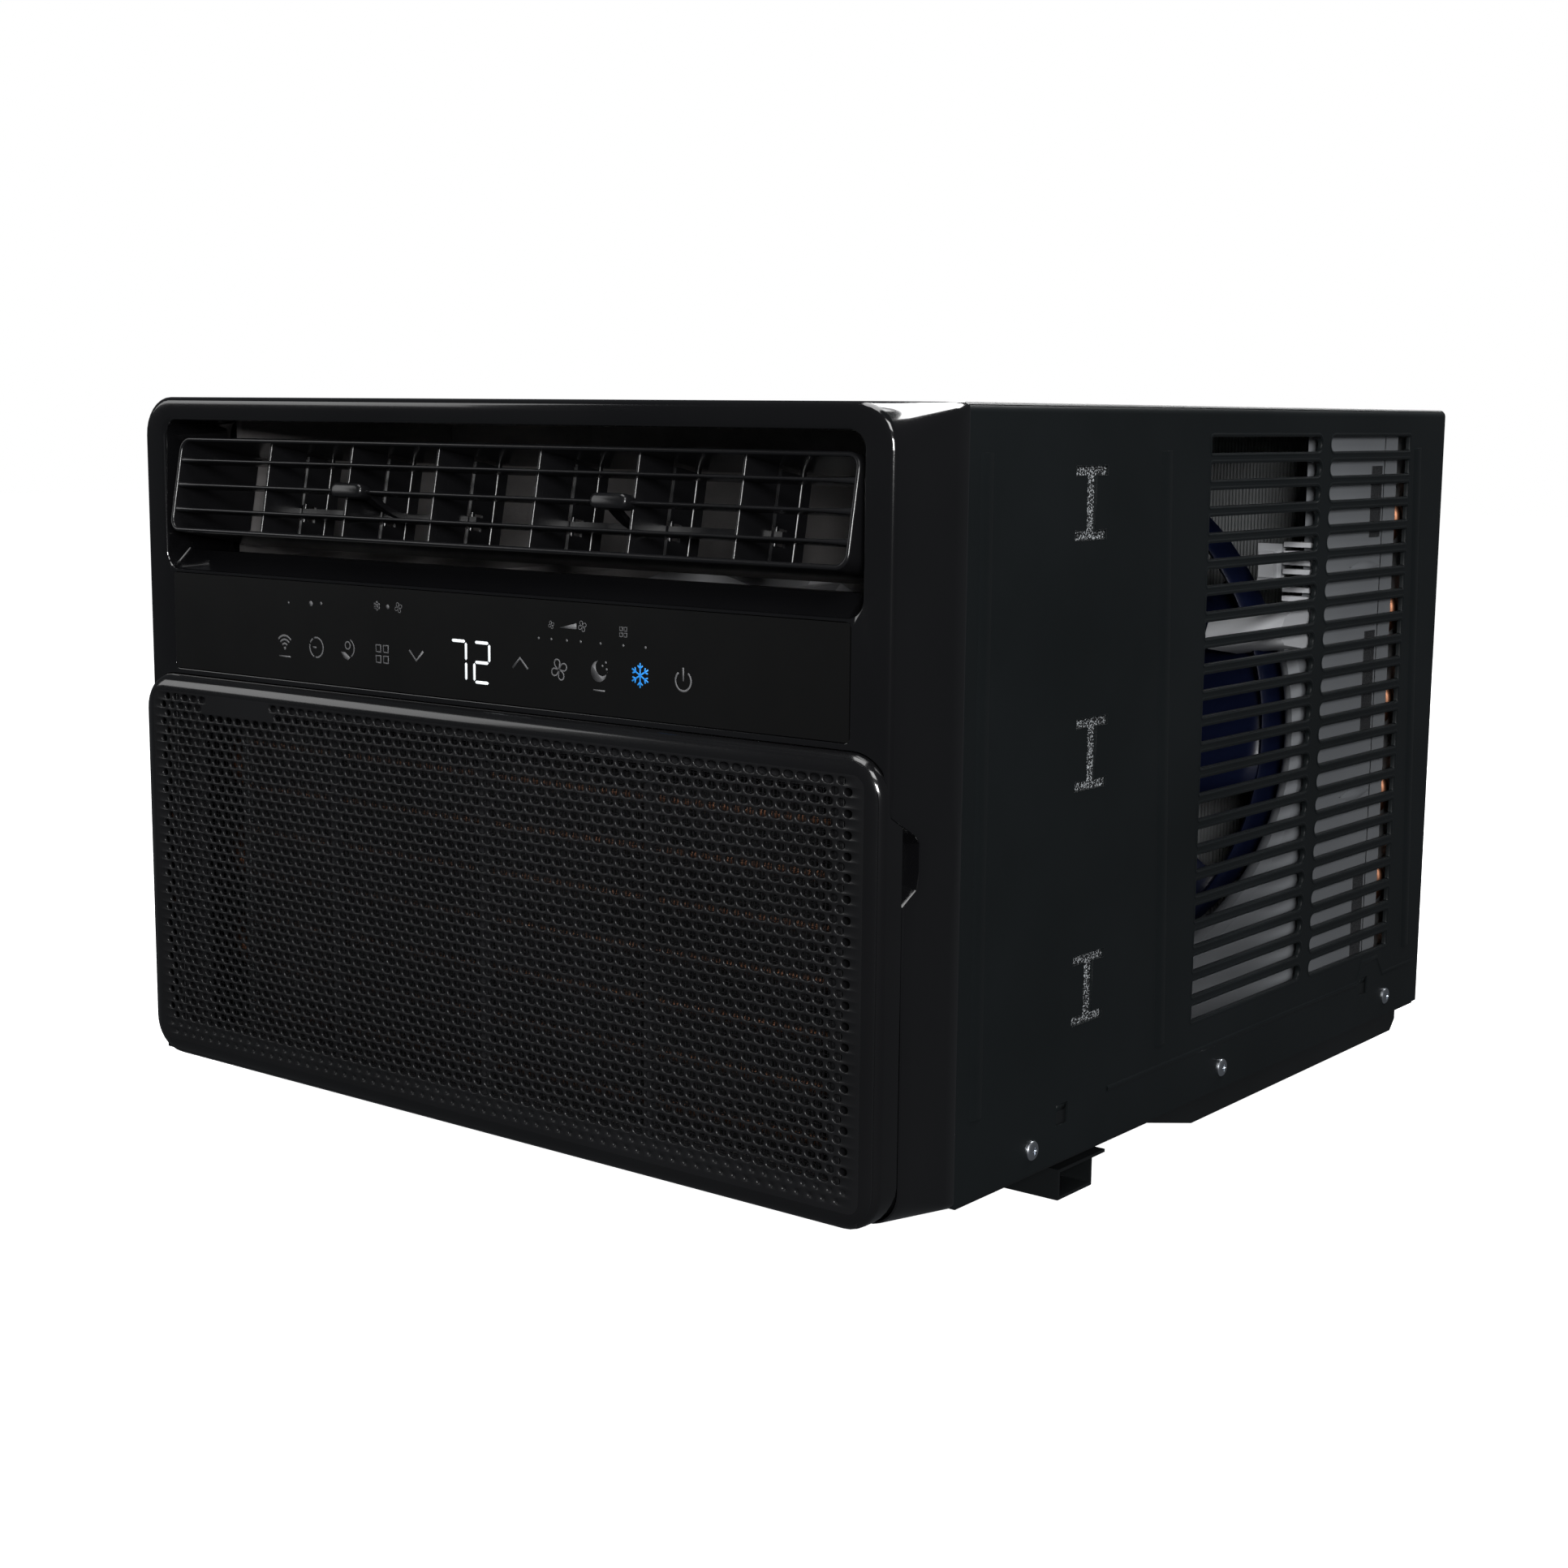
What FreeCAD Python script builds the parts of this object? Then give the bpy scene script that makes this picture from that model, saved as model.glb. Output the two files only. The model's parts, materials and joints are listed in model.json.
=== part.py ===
import FreeCAD, Part
import Sketcher
import math
import os
import re

# Window air conditioner, millimetres.
# X runs to the right seen from the room, -Y is the room side, +Z is up.
# The origin is the middle of the footprint, at the underside of the sill rail.

# small step past a face, so that two solids meet without sharing it
OVERLAP = 0.01

DOC = FreeCAD.newDocument("WindowAirConditioner")
SHEET = DOC.addObject("Spreadsheet::Sheet", "Size")
PIECES = []

DIMENSIONS = [
    # cabinet
    ("cab_half", 241), ("cab_top", 371), ("cab_bottom", 23.5), ("cab_rear", 274.5),
    ("cab_front", -218.3), ("steel", 1), ("cab_corner", 4), ("rear_lip", 9),
    # front bezel
    ("face_y", -268.5), ("face_half", 239), ("face_top", 370.7), ("face_bottom", 24),
    ("face_corner", 20), ("bezel_rear", -218.5), ("bezel_half", 242), ("bezel_corner", 3),
    ("bezel_wall", 2.5), ("bezel_flare", 0.3), ("skirt_parting", -258.2), ("face_plate", 4),
    ("shelf_gap", 0.5), ("shelf_deep", 24), ("sweep_half", 237), ("ear_front", 4), ("ear_rear", 14),
    # air outlet recess
    ("outlet_half", 223.5), ("outlet_top", 359), ("outlet_low", 283), ("outlet_corner", 8),
    ("recess_floor", 287), ("recess_wall", 2.5), ("recess_rear", -225),
    ("lip_crest", 292.5), ("lip_crest_front", -257), ("lip_crest_rear", -253), ("lip_back", -249),
    # touch panel
    ("glass_half", 218), ("glass_low", 231.5), ("glass_high", 281), ("glass_thick", 1.6),
    ("glass_gap", 0.2), ("glass_ledge", 8), ("board_half", 150), ("board_thick", 1.6),
    ("board_setback", 7), ("display_left", -17), ("display_right", 13),
    # intake grille
    ("grille_front", -274.5), ("grille_top", 228), ("grille_thick", 2.5), ("grille_wall", 2.2),
    ("skirt_rear", -258.5), ("hinge_y", -260.5), ("hinge_z", 29), ("hinge_pin", 2.4),
    ("grille_corner", 18), ("grille_inner_corner", 15.8), ("lug_at", 227), ("ear_at", 222),
    ("lug_half", 2), ("seat_gap", 0.3),
    ("slit_rows", 22), ("slit_pitch", 8), ("slit_height", 4), ("slit_first", 44),
    ("slit_end", 212), ("slit_middle", 6),
    # finger notch in the side of the grille and bezel
    ("notch_low", 164), ("notch_high", 206), ("notch_deep", 6), ("notch_rear", -247.5),
    # air filter
    ("filter_half", 216), ("filter_front", -264), ("filter_rear", -259), ("filter_low", 34),
    ("filter_high", 218), ("filter_border", 8), ("filter_pane", 104), ("filter_bar", 3),
    ("mesh_thick", 0.4),
    # tilting louvre frame, in its own axes about its pivot
    ("pivot_y", -242.1), ("pivot_z", 321.9), ("rest_tilt", 10.7), ("ring_half", 218),
    ("ring_front", -25), ("ring_rear", 26), ("ring_high", 24.5), ("ring_wall", 2.4),
    ("ring_corner", 8), ("blade_pitch", 12.7), ("blade_thick", 1.6), ("blade_deep", 15),
    ("rib_inner", 33), ("rib_pitch", 60), ("rib_thick", 1.6), ("rib_front", -18.5),
    ("rib_rear", 4), ("pivot_pin", 2.5), ("pin_gap", 0.06),
    # vertical vanes behind the louvre frame
    ("vane_axis", 22), ("vane_front", 6), ("vane_rear", 28), ("vane_high", 20.8),
    ("vane_thick", 1.6), ("vane_pin", 1.5), ("crank_pin", 1.2), ("crank_arm", 14),
    ("link_low", -10), ("link_high", -6), ("link_front", 5), ("link_rear", 13),
    ("tab_middle", 85), ("tab_half", 11), ("tab_high", 3.5), ("tab_front", -28),
    ("tab_rear", -19.2), ("lever_at", 76.2), ("lever_thick", 2.4),
    # side vents: two columns of slots
    ("vent_rows", 23), ("vent_pitch", 12.86), ("vent_low", 65.4), ("vent_high", 8),
    ("vent_a_front", -6.1), ("vent_a_rear", 115.5), ("vent_b_front", 126.2),
    ("vent_b_rear", 227.5),
    # side screws, square lances and raised beads
    ("screw_z", 34.6), ("screw_a", -154.6), ("screw_b", 28.3), ("screw_c", 229.1),
    ("screw_head", 4.6), ("screw_head_high", 1.8), ("screw_shank", 2),
    ("lance_z", 46), ("lance_size", 10), ("lance_a", -129), ("lance_b", 199),
    ("bead_low", 60), ("bead_top", 350), ("bead_wide", 10), ("bead_high", 0.9),
    # half sizes of the I-shaped openings: web, flange, bar, and height to a bar's middle
    ("i_web", 3.8), ("i_flange", 13.8), ("i_bar", 2), ("i_rise", 14.4),
    # base pan and sill rail
    ("pan_half", 239.8), ("pan_low", 22), ("pan_steel", 1.2), ("pan_high", 50),
    ("pan_front", -215), ("pan_rear", 272), ("sump_low", 9), ("sump_half", 236.5),
    ("ramp_front", -48.5), ("sump_front", 6.5), ("sump_rear", 255.5),
    ("rail_half", 234), ("rail_front", -119), ("rail_rear", -88), ("rail_wall", 1.6),
    ("rail_high", 15), ("rail_flange", 12), ("rail_hole", 2.5), ("rail_hole_at", 200),
    ("rail_web_inset", 20), ("sash_hole_at", 150), ("sash_hole_back", 60),
    # fan line and its two wheels
    ("fan_x", 60), ("fan_z", 196), ("shaft_r", 6.35), ("shaft_front", -190), ("shaft_rear", 166),
    ("shaft_gap", 0.05), ("wheel_r", 95), ("wheel_front", -178), ("wheel_rear", -110),
    ("wheel_blades", 36), ("motor_r", 60), ("motor_front", -58), ("motor_rear", 38),
    ("fan_r", 150), ("fan_front", 108), ("fan_rear", 152), ("fan_blades", 5),
    ("fan_hub", 30), ("fan_pitch", 26), ("slinger_thick", 2.5),
    # scroll, duct, bulkhead and shroud
    ("scroll_r", 115), ("scroll_wall", 4), ("scroll_front", -196), ("scroll_rear", -64),
    ("inlet_r", 88), ("duct_half", 222), ("duct_low", 283), ("duct_high", 366),
    ("duct_front", -222), ("bulkhead_y", -62), ("shroud_front", 126), ("shroud_rear", 206),
    ("shroud_half", 236), ("shroud_wall", 2), ("orifice_r", 158), ("collar_deep", 24),
    ("wing_rear", 222), ("wing_low", 40), ("wing_high", 358),
    # coils
    ("evap_half", 200), ("evap_front", -240), ("evap_rear", -206), ("evap_low", 34),
    ("evap_high", 274), ("evap_rows", 10), ("cond_half", 212), ("cond_front", 207),
    ("cond_rear", 251), ("cond_low", 22), ("cond_high", 362), ("cond_rows", 13),
    ("tube_r", 4.75), ("tube_gap", 0.2), ("end_plate", 1.5),
    # compressor
    ("comp_x", -150), ("comp_y", 20), ("comp_r", 66), ("comp_low", 62), ("comp_high", 215),
    ("comp_dome", 28), ("comp_wall", 8), ("foot_z", 38), ("foot_r", 80), ("foot_bolts", 72),
    ("foot_bolt", 4), ("bolt_head", 7.5), ("cushion_r", 10), ("cover_x", 22), ("cover_y", 18),
    ("accum_x", -60), ("accum_y", 72), ("accum_r", 24), ("accum_low", 70), ("accum_high", 185),
    # filter drier between the liquid line and the capillary tube
    ("drier_x", -200), ("drier_z", 60), ("drier_r", 12), ("drier_front", -170),
    ("drier_rear", -118.2),
    # cord gland and drain plug
    ("gland_x", -190), ("gland_y", -200), ("gland_r", 9), ("cord_bore", 4.2),
    ("plug_x", 150), ("plug_y", 235), ("plug_r", 7),
    # control box and run capacitor
    ("box_left", 183), ("box_right", 235), ("box_front", -195), ("box_rear", -70),
    ("box_low", 60), ("box_high", 270), ("box_steel", 1.2), ("cap_x", 209), ("cap_y", -130),
    ("cap_r", 20), ("cap_low", 70), ("cap_high", 160), ("clamp_low", 100), ("clamp_high", 112),
    # side insulation pads
    ("foam_front", -150), ("foam_rear", -80), ("foam_low", 75), ("foam_high", 352),
    ("foam_thick", 3.8),
]


def fill_sheet():
    """Write every driving dimension to the sheet as a plain number with an alias."""
    for row, (alias, number) in enumerate(DIMENSIONS, start=1):
        SHEET.set("A%d" % row, alias)
        SHEET.set("B%d" % row, str(number))
        SHEET.setAlias("B%d" % row, alias)
    DOC.recompute()


NAMES = {alias for alias, _ in DIMENSIONS}


def value(alias):
    """A driving dimension as a number."""
    return float(SHEET.get(alias))


def formula(text):
    """Turn bare dimension names into references to the sheet."""
    return re.sub(r"[a-z_]+", lambda word: "Size." + word.group() if word.group() in NAMES
                  else word.group(), str(text))


def bind(item, prop, text):
    item.setExpression(prop, formula(text))


def place(item, x="0", y="0", z="0"):
    """Bind an item's position to formulas."""
    bind(item, "Placement.Base.x", x)
    bind(item, "Placement.Base.y", y)
    bind(item, "Placement.Base.z", z)


def block(name, x, y, z):
    """A box whose faces lie at the three pairs of formulas."""
    item = DOC.addObject("Part::Box", name)
    for prop, (low, high) in (("Length", x), ("Width", y), ("Height", z)):
        bind(item, prop, "(%s) - (%s)" % (high, low))
    place(item, x[0], y[0], z[0])
    return item


def both(half):
    """The pair of formulas for something centred on zero."""
    return ("-(%s)" % half, half)


TURNS = {
    "x": FreeCAD.Rotation(FreeCAD.Vector(0, 1, 0), 90),
    "y": FreeCAD.Rotation(FreeCAD.Vector(1, 0, 0), -90),
    "z": FreeCAD.Rotation(),
}


def rod(name, axis, low, high, radius, across):
    """A cylinder along an axis; across holds its position on the other two axes in order."""
    item = DOC.addObject("Part::Cylinder", name)
    bind(item, "Radius", radius)
    bind(item, "Height", "(%s) - (%s)" % (high, low))
    item.Placement = FreeCAD.Placement(FreeCAD.Vector(), TURNS[axis])
    spot = list(across)
    spot.insert("xyz".index(axis), low)
    place(item, *spot)
    return item


def fuse(name, *items):
    item = DOC.addObject("Part::MultiFuse", name)
    item.Shapes = list(items)
    return item


def cut(name, base, *tools):
    item = DOC.addObject("Part::Cut", name)
    item.Base = base
    item.Tool = tools[0] if len(tools) == 1 else fuse(name + "_tools", *tools)
    return item


def common(name, first, second):
    item = DOC.addObject("Part::Common", name)
    item.Base = first
    item.Tool = second
    return item


def compound(name, *items):
    """Separate solids that share one node."""
    item = DOC.addObject("Part::Compound", name)
    item.Links = list(items)
    return item


def rounded(name, base, alias, along):
    """Round the straight edges of a box that run along an axis."""
    DOC.recompute()
    direction = FreeCAD.Vector(*[1 if letter == along else 0 for letter in "xyz"])
    item = DOC.addObject("Part::Fillet", name)
    item.Base = base
    chosen = []
    for index, edge in enumerate(base.Shape.Edges, start=1):
        if abs(abs(edge.tangentAt(edge.FirstParameter).dot(direction)) - 1) < 1e-6:
            chosen.append((index, value(alias), value(alias)))
    item.Edges = chosen
    return item


def keep(item, label):
    """Name a finished sub-part."""
    item.Label = label
    PIECES.append(item)
    return item


def outline(name, y, half, low, high, radius):
    """A closed rounded rectangle in an XZ plane."""
    corners = [(half - radius, high - radius), (radius - half, high - radius),
               (radius - half, low + radius), (half - radius, low + radius)]
    points = []
    for turn, (x, z) in enumerate(corners):
        for step in (0, 0.5, 1):
            angle = math.pi / 2 * (turn + step)
            points.append(FreeCAD.Vector(x + radius * math.cos(angle), y,
                                         z + radius * math.sin(angle)))
    edges = []
    for turn in range(4):
        start, middle, end = points[3 * turn:3 * turn + 3]
        edges.append(Part.Arc(start, middle, end).toShape())
        edges.append(Part.LineSegment(end, points[(3 * turn + 3) % 12]).toShape())
    item = DOC.addObject("Part::Feature", name)
    item.Shape = Part.Wire(edges)
    return item


def loft(name, *sections):
    item = DOC.addObject("Part::Loft", name)
    item.Sections = list(sections)
    item.Solid = True
    item.Ruled = True
    return item


def origin_feature(body, role):
    return [item for item in body.Origin.OriginFeatures if item.Role == role][0]


def new_body(name):
    return DOC.addObject("PartDesign::Body", name)


def new_sketch(body, name, role):
    sketch = body.newObject("Sketcher::SketchObject", name)
    sketch.AttachmentSupport = (origin_feature(body, role), [""])
    sketch.MapMode = "FlatFace"
    return sketch


def sketch_circle(sketch, radius, along="0", up="0"):
    """A circle with its radius and centre held by formulas."""
    index = sketch.addGeometry(Part.Circle(FreeCAD.Vector(1, 1, 0), FreeCAD.Vector(0, 0, 1), 5))
    for kind, text in (("Radius", radius), ("DistanceX", along), ("DistanceY", up)):
        if kind == "Radius":
            row = sketch.addConstraint(Sketcher.Constraint(kind, index, 5))
        else:
            row = sketch.addConstraint(Sketcher.Constraint(kind, -1, 1, index, 3, 1))
        sketch.setExpression("Constraints[%d]" % row, formula(text))
    return index


def sketch_polygon(sketch, points):
    """A closed outline of straight lines through points read from the sheet."""
    count = len(points)
    first = sketch.GeometryCount
    for index, (along, up) in enumerate(points):
        end_along, end_up = points[(index + 1) % count]
        sketch.addGeometry(Part.LineSegment(FreeCAD.Vector(along, up, 0),
                                            FreeCAD.Vector(end_along, end_up, 0)))
    for index in range(count):
        sketch.addConstraint(Sketcher.Constraint("Coincident", first + index, 2,
                                                 first + (index + 1) % count, 1))


def pad(body, name, sketch, length, both_ways=False):
    item = body.newObject("PartDesign::Pad", name)
    item.Profile = sketch
    bind(item, "Length", length)
    if both_ways:
        item.Midplane = True
    return item


def side_slots():
    """Two columns of vent slots, cut through both side walls at once."""
    tools = []
    for row in range(int(value("vent_rows"))):
        low = "vent_low + %d * vent_pitch" % row
        high = low + " + vent_high"
        middle = low + " + vent_high / 2"
        for letter, front, rear in (("a", "vent_a_front", "vent_a_rear - vent_high / 2"),
                                    ("b", "vent_b_front + vent_high / 2", "vent_b_rear")):
            tools.append(block("slot_%s%d" % (letter, row), both("cab_half + 5"), (front, rear),
                               (low, high)))
        for letter, end in (("a", "vent_a_rear - vent_high / 2"),
                            ("b", "vent_b_front + vent_high / 2")):
            tools.append(rod("slot_end_%s%d" % (letter, row), "x", "-(cab_half + 5)",
                             "cab_half + 5", "vent_high / 2", (end, middle)))
    return tools


# centre (y, z) of each of the three I-shaped openings in a side
I_SLOTS = ((-118.1, 327), (-112, 213), (-109, 102.5))


def i_slots():
    """The I-shaped openings: a web between two flanges."""
    tools = []
    for index, (y, z) in enumerate(I_SLOTS):
        tools.append(block("web_%d" % index, both("cab_half + 5"),
                           ("%g - i_web" % y, "%g + i_web" % y),
                           ("%g - i_rise" % z, "%g + i_rise" % z)))
        for side in (-1, 1):
            middle = "%g + %d * i_rise" % (z, side)
            tools.append(block("flange_%d_%d" % (index, side + 1), both("cab_half + 5"),
                               ("%g - i_flange" % y, "%g + i_flange" % y),
                               (middle + " - i_bar", middle + " + i_bar")))
    return tools


# each raised bead: y at its lower end and at its upper end
BEADS = ((-202, -204), (-38, -50), (254, 238))


def side_beads():
    """Shallow rounded ridges pressed outward on both sides."""
    ridges = []
    radius = (value("bead_wide") ** 2 / 4 + value("bead_high") ** 2) / (2 * value("bead_high"))
    rise = value("bead_top") - value("bead_low")
    for index, (low_y, top_y) in enumerate(BEADS):
        lean = math.degrees(math.atan2(top_y - low_y, rise))
        for side in (-1, 1):
            ridge = DOC.addObject("Part::Cylinder", "bead_rod_%d_%d" % (index, side + 1))
            ridge.Radius = radius
            bind(ridge, "Height", "bead_top - bead_low")
            ridge.Placement = FreeCAD.Placement(
                FreeCAD.Vector(side * (value("cab_half") + value("bead_high") - radius),
                               low_y, value("bead_low")),
                FreeCAD.Rotation(FreeCAD.Vector(1, 0, 0), -lean))
            edge = ("cab_half - 0.4", "cab_half + 2") if side > 0 else ("-cab_half - 2",
                                                                        "0.4 - cab_half")
            zone = block("bead_zone_%d_%d" % (index, side + 1), edge,
                         ("%g" % (min(low_y, top_y) - 12), "%g" % (max(low_y, top_y) + 12)),
                         ("bead_low", "bead_top"))
            ridges.append(common("bead_%d_%d" % (index, side + 1), ridge, zone))
    return ridges


SCREWS = ("screw_a", "screw_b", "screw_c")


def screw_holes(name, radius):
    return [rod("%s_%s" % (name, spot), "x", "-(cab_half + 5)", "cab_half + 5", radius,
                (spot, "screw_z")) for spot in SCREWS]


def make_wrapper():
    outer = rounded("wrapper_outer", block("wrapper_block", both("cab_half"),
                                           ("cab_front", "cab_rear"),
                                           ("cab_bottom - 20", "cab_top")), "cab_corner", "y")
    inner = block("wrapper_inner", both("cab_half - steel"), ("cab_front - 1", "cab_rear - steel"),
                  ("cab_bottom - 30", "cab_top - steel"))
    rear = block("wrapper_rear_opening", both("cab_half - rear_lip"), ("cab_rear - 5", "cab_rear + 1"),
                 ("cab_bottom - 30", "cab_top - rear_lip"))
    under = block("wrapper_under", both("cab_half + 5"), ("cab_front - 1", "cab_rear + 1"),
                  ("cab_bottom - 40", "cab_bottom"))
    lances = [block("lance_" + spot, both("cab_half + 5"),
                    (spot + " - lance_size / 2", spot + " + lance_size / 2"),
                    ("lance_z - lance_size / 2", "lance_z + lance_size / 2"))
              for spot in ("lance_a", "lance_b")]
    top_holes = [rod("top_hole_%d" % (side + 1), "z", "cab_top - 10", "cab_top + 5", "rail_hole",
                     ("%d * sash_hole_at" % side, "cab_front + sash_hole_back"))
                 for side in (-1, 1)]
    shell = cut("wrapper_shell", outer, inner, rear, under)
    ridged = fuse("wrapper_ridged", shell, *side_beads())
    keep(cut("wrapper", ridged, *side_slots(), *i_slots(), *lances, *top_holes,
             *screw_holes("wrapper_hole", "screw_shank + 0.1")), "cabinet_wrapper")


def prism(name, points, width):
    """A solid of one YZ outline, centred on X = 0, with its width held by a formula."""
    body = new_body(name)
    sketch = new_sketch(body, name + "_profile", "YZ_Plane")
    sketch_polygon(sketch, points)
    pad(body, name + "_pad", sketch, width, both_ways=True)
    return body


def sump_outline(inset, top):
    """The sump's lengthwise outline: a ramp down from the pan floor, then a flat bottom."""
    floor = value("pan_low") + inset
    bottom = value("sump_low") + inset
    rear = value("sump_rear") - inset
    return [(value("ramp_front") + inset, floor), (value("sump_front"), bottom),
            (rear - 6, bottom), (rear, bottom + 6), (rear, top), (value("ramp_front") + inset, top)]


def make_base_pan():
    tray = block("pan_outer", both("pan_half"), ("pan_front", "pan_rear"), ("pan_low", "pan_high"))
    steel = value("pan_steel")
    sump = prism("sump_outer", sump_outline(0, value("pan_low") + steel / 2), "2 * sump_half")
    tray_inside = block("pan_inner", both("pan_half - pan_steel"),
                        ("pan_front + pan_steel", "pan_rear - pan_steel"),
                        ("pan_low + pan_steel", "pan_high + 1"))
    sump_inside = prism("sump_inner", sump_outline(steel, value("pan_low") + 5),
                        "2 * (sump_half - pan_steel)")
    rear_low = block("pan_rear_gap", both("pan_half - 20"), ("pan_rear - 5", "pan_rear + 1"),
                     ("pan_low + 10", "pan_high + 1"))
    front_low = block("pan_front_gap", both("pan_half - 8"), ("pan_front - 1", "pan_front + 5"),
                      ("pan_low + 4", "pan_high + 1"))
    drain = rod("drain_hole", "z", "0", "30", "plug_r + 0.2", ("plug_x", "plug_y"))
    gland = rod("gland_hole", "z", "0", "30", "gland_r + 0.2", ("gland_x", "gland_y"))
    open_pan = cut("open_pan", fuse("pan_solid", tray, sump), tray_inside, sump_inside, rear_low,
                   front_low)
    boss = block("boss_outer", ("comp_x - foot_r", "comp_x + foot_r"),
                 ("comp_y - foot_r", "comp_y + foot_r"), ("sump_low", "pan_low + pan_steel"))
    boss_inside = block("boss_inner", ("comp_x - foot_r + pan_steel", "comp_x + foot_r - pan_steel"),
                        ("comp_y - foot_r + pan_steel", "comp_y + foot_r - pan_steel"),
                        ("0", "pan_low"))
    keep(cut("pan", fuse("bossed_pan", open_pan, boss), boss_inside, drain, gland,
             *screw_holes("pan_hole", "screw_shank + 0.1")), "base_pan")
    make_drain_plug()
    make_cord_gland()


def make_drain_plug():
    spot = ("plug_x", "plug_y")
    disc = rod("plug_disc", "z", "sump_low + pan_steel", "sump_low + pan_steel + 2", "plug_r + 3", spot)
    stem = rod("plug_stem", "z", "sump_low - 1", "sump_low + pan_steel + 1", "plug_r", spot)
    keep(fuse("plug", disc, stem), "drain_plug")


def make_cord_gland():
    spot = ("gland_x", "gland_y")
    collar = rod("gland_collar", "z", "pan_low + pan_steel", "pan_low + pan_steel + 2.5",
                 "gland_r + 3", spot)
    sleeve = rod("gland_sleeve", "z", "pan_low - 6", "pan_low + pan_steel + 1", "gland_r", spot)
    bore = rod("gland_bore", "z", "0", "30", "cord_bore", spot)
    keep(cut("gland", fuse("gland_solid", collar, sleeve), bore), "cord_gland")


def make_sill_rail():
    tube = block("rail_outer", both("rail_half"), ("rail_front", "rail_rear"), ("0", "rail_high"))
    flange = block("rail_flange_strip", both("rail_half"), ("rail_rear - 1", "rail_rear + rail_flange"),
                   ("rail_high - rail_wall", "rail_high"))
    web = block("rail_web", both("rail_half - rail_web_inset"), ("rail_front + 6", "rail_rear - 6"),
                ("rail_high - 0.5", "pan_low"))
    web_space = block("rail_web_space", both("rail_half - rail_web_inset + 2"),
                      ("rail_front + 6 + rail_wall", "rail_rear - 6 - rail_wall"),
                      ("rail_high", "pan_low + 1"))
    hollow = block("rail_inner", both("rail_half + 5"),
                   ("rail_front + rail_wall", "rail_rear - rail_wall"),
                   ("rail_wall", "rail_high - rail_wall"))
    holes = [rod("rail_hole_%d" % (side + 1), "z", "-1", "rail_wall + 1", "rail_hole",
                 ("%d * rail_hole_at" % side, "(rail_front + rail_rear) / 2")) for side in (-1, 1)]
    keep(cut("rail", fuse("rail_solid", tube, flange, web), hollow, web_space, *holes), "sill_rail")


def make_side_screws():
    screws = []
    for side in (-1, 1):
        for spot in SCREWS:
            name = "%s_%d" % (spot, side + 1)
            seat, inner = ("cab_half", "cab_half - 6") if side > 0 else ("-cab_half", "6 - cab_half")
            head = DOC.addObject("Part::Cone", "head_" + name)
            bind(head, "Radius1", "screw_head")
            bind(head, "Radius2", "screw_head * 0.72")
            bind(head, "Height", "screw_head_high")
            head.Placement = FreeCAD.Placement(
                FreeCAD.Vector(), FreeCAD.Rotation(FreeCAD.Vector(0, 1, 0), 90 * side))
            place(head, seat, spot, "screw_z")
            low, high = (inner, seat + " + 0.2") if side > 0 else (seat + " - 0.2", inner)
            shank = rod("shank_" + name, "x", low, high, "screw_shank", (spot, "screw_z"))
            screws.append(fuse("screw_solid_" + name, head, shank))
    keep(compound("side_screws", *screws), "cabinet_screws")


def lip_wedge():
    """The sloped lower lip of the air outlet, running the width of the recess."""
    bottom = value("glass_high") + 0.5
    return prism("lip", [
        (value("face_y"), bottom), (value("lip_back"), bottom),
        (value("lip_back"), value("recess_floor")), (value("lip_crest_rear"), value("lip_crest")),
        (value("lip_crest_front"), value("lip_crest")), (value("face_y"), value("outlet_low"))],
        "2 * outlet_half + 2")


def across(side, middle):
    """The X faces of a hinge lug or ear on one side."""
    return ("%d * %s - lug_half" % (side, middle), "%d * %s + lug_half" % (side, middle))


def bezel_walls():
    """The tapering skirt, open at the front where the grille sits."""
    wall = value("bezel_wall")
    front, rear = value("face_y"), value("bezel_rear")
    half, rear_half = value("face_half"), value("bezel_half")
    low, high = value("face_bottom"), value("face_top")
    grow = value("bezel_flare")
    outer = loft("bezel_outer",
                 outline("bezel_front_line", front, half, low, high, value("face_corner")),
                 outline("bezel_rear_line", rear, rear_half, low - grow, high + grow,
                         value("bezel_corner")))
    inner = loft("bezel_inner",
                 outline("bezel_inner_front", front - OVERLAP, half - wall, low + wall, high - wall,
                         value("face_corner") - wall),
                 outline("bezel_inner_rear", rear + OVERLAP, rear_half - wall, low - grow + wall,
                         high + grow - wall, value("bezel_corner") - wall + grow))
    grille_zone = block("grille_zone", both("300"), ("face_y - 10", "skirt_parting"),
                        ("0", "grille_top + shelf_gap"))
    sweep_zone = block("sweep_zone", both("sweep_half"), ("face_y - 10", "skirt_parting + 2.2"),
                       ("0", "hinge_z - 1"))
    return outer, cut("bezel_shell", outer, inner, grille_zone, sweep_zone)


def bezel_face(outer):
    """The flat front above the grille, with the air outlet and the panel pocket cut in it."""
    through = ("face_y - 5", "face_y + face_plate + 5")
    plate = common("bezel_plate", outer, block("plate_zone", both("300"),
                                               ("face_y - 1", "face_y + face_plate"),
                                               ("grille_top - grille_corner", "cab_top + 5")))
    grille_room = rounded("grille_room", block("grille_room_block", both("face_half + shelf_gap"),
                                               through, ("face_bottom", "grille_top + shelf_gap")),
                          "grille_corner", "y")
    outlet = rounded("outlet_hole", block("outlet_block", both("outlet_half"), through,
                                          ("outlet_low", "outlet_top")), "outlet_corner", "y")
    pocket = block("glass_pocket", both("glass_half + glass_gap"),
                   ("face_y - 5", "face_y + glass_thick + 0.1"),
                   ("glass_low - glass_gap", "glass_high + glass_gap"))
    window = block("board_window", both("glass_half - glass_ledge"), through,
                   ("glass_low + 5", "glass_high - 5"))
    return cut("bezel_face", plate, outlet, pocket, window, grille_room)


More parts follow.
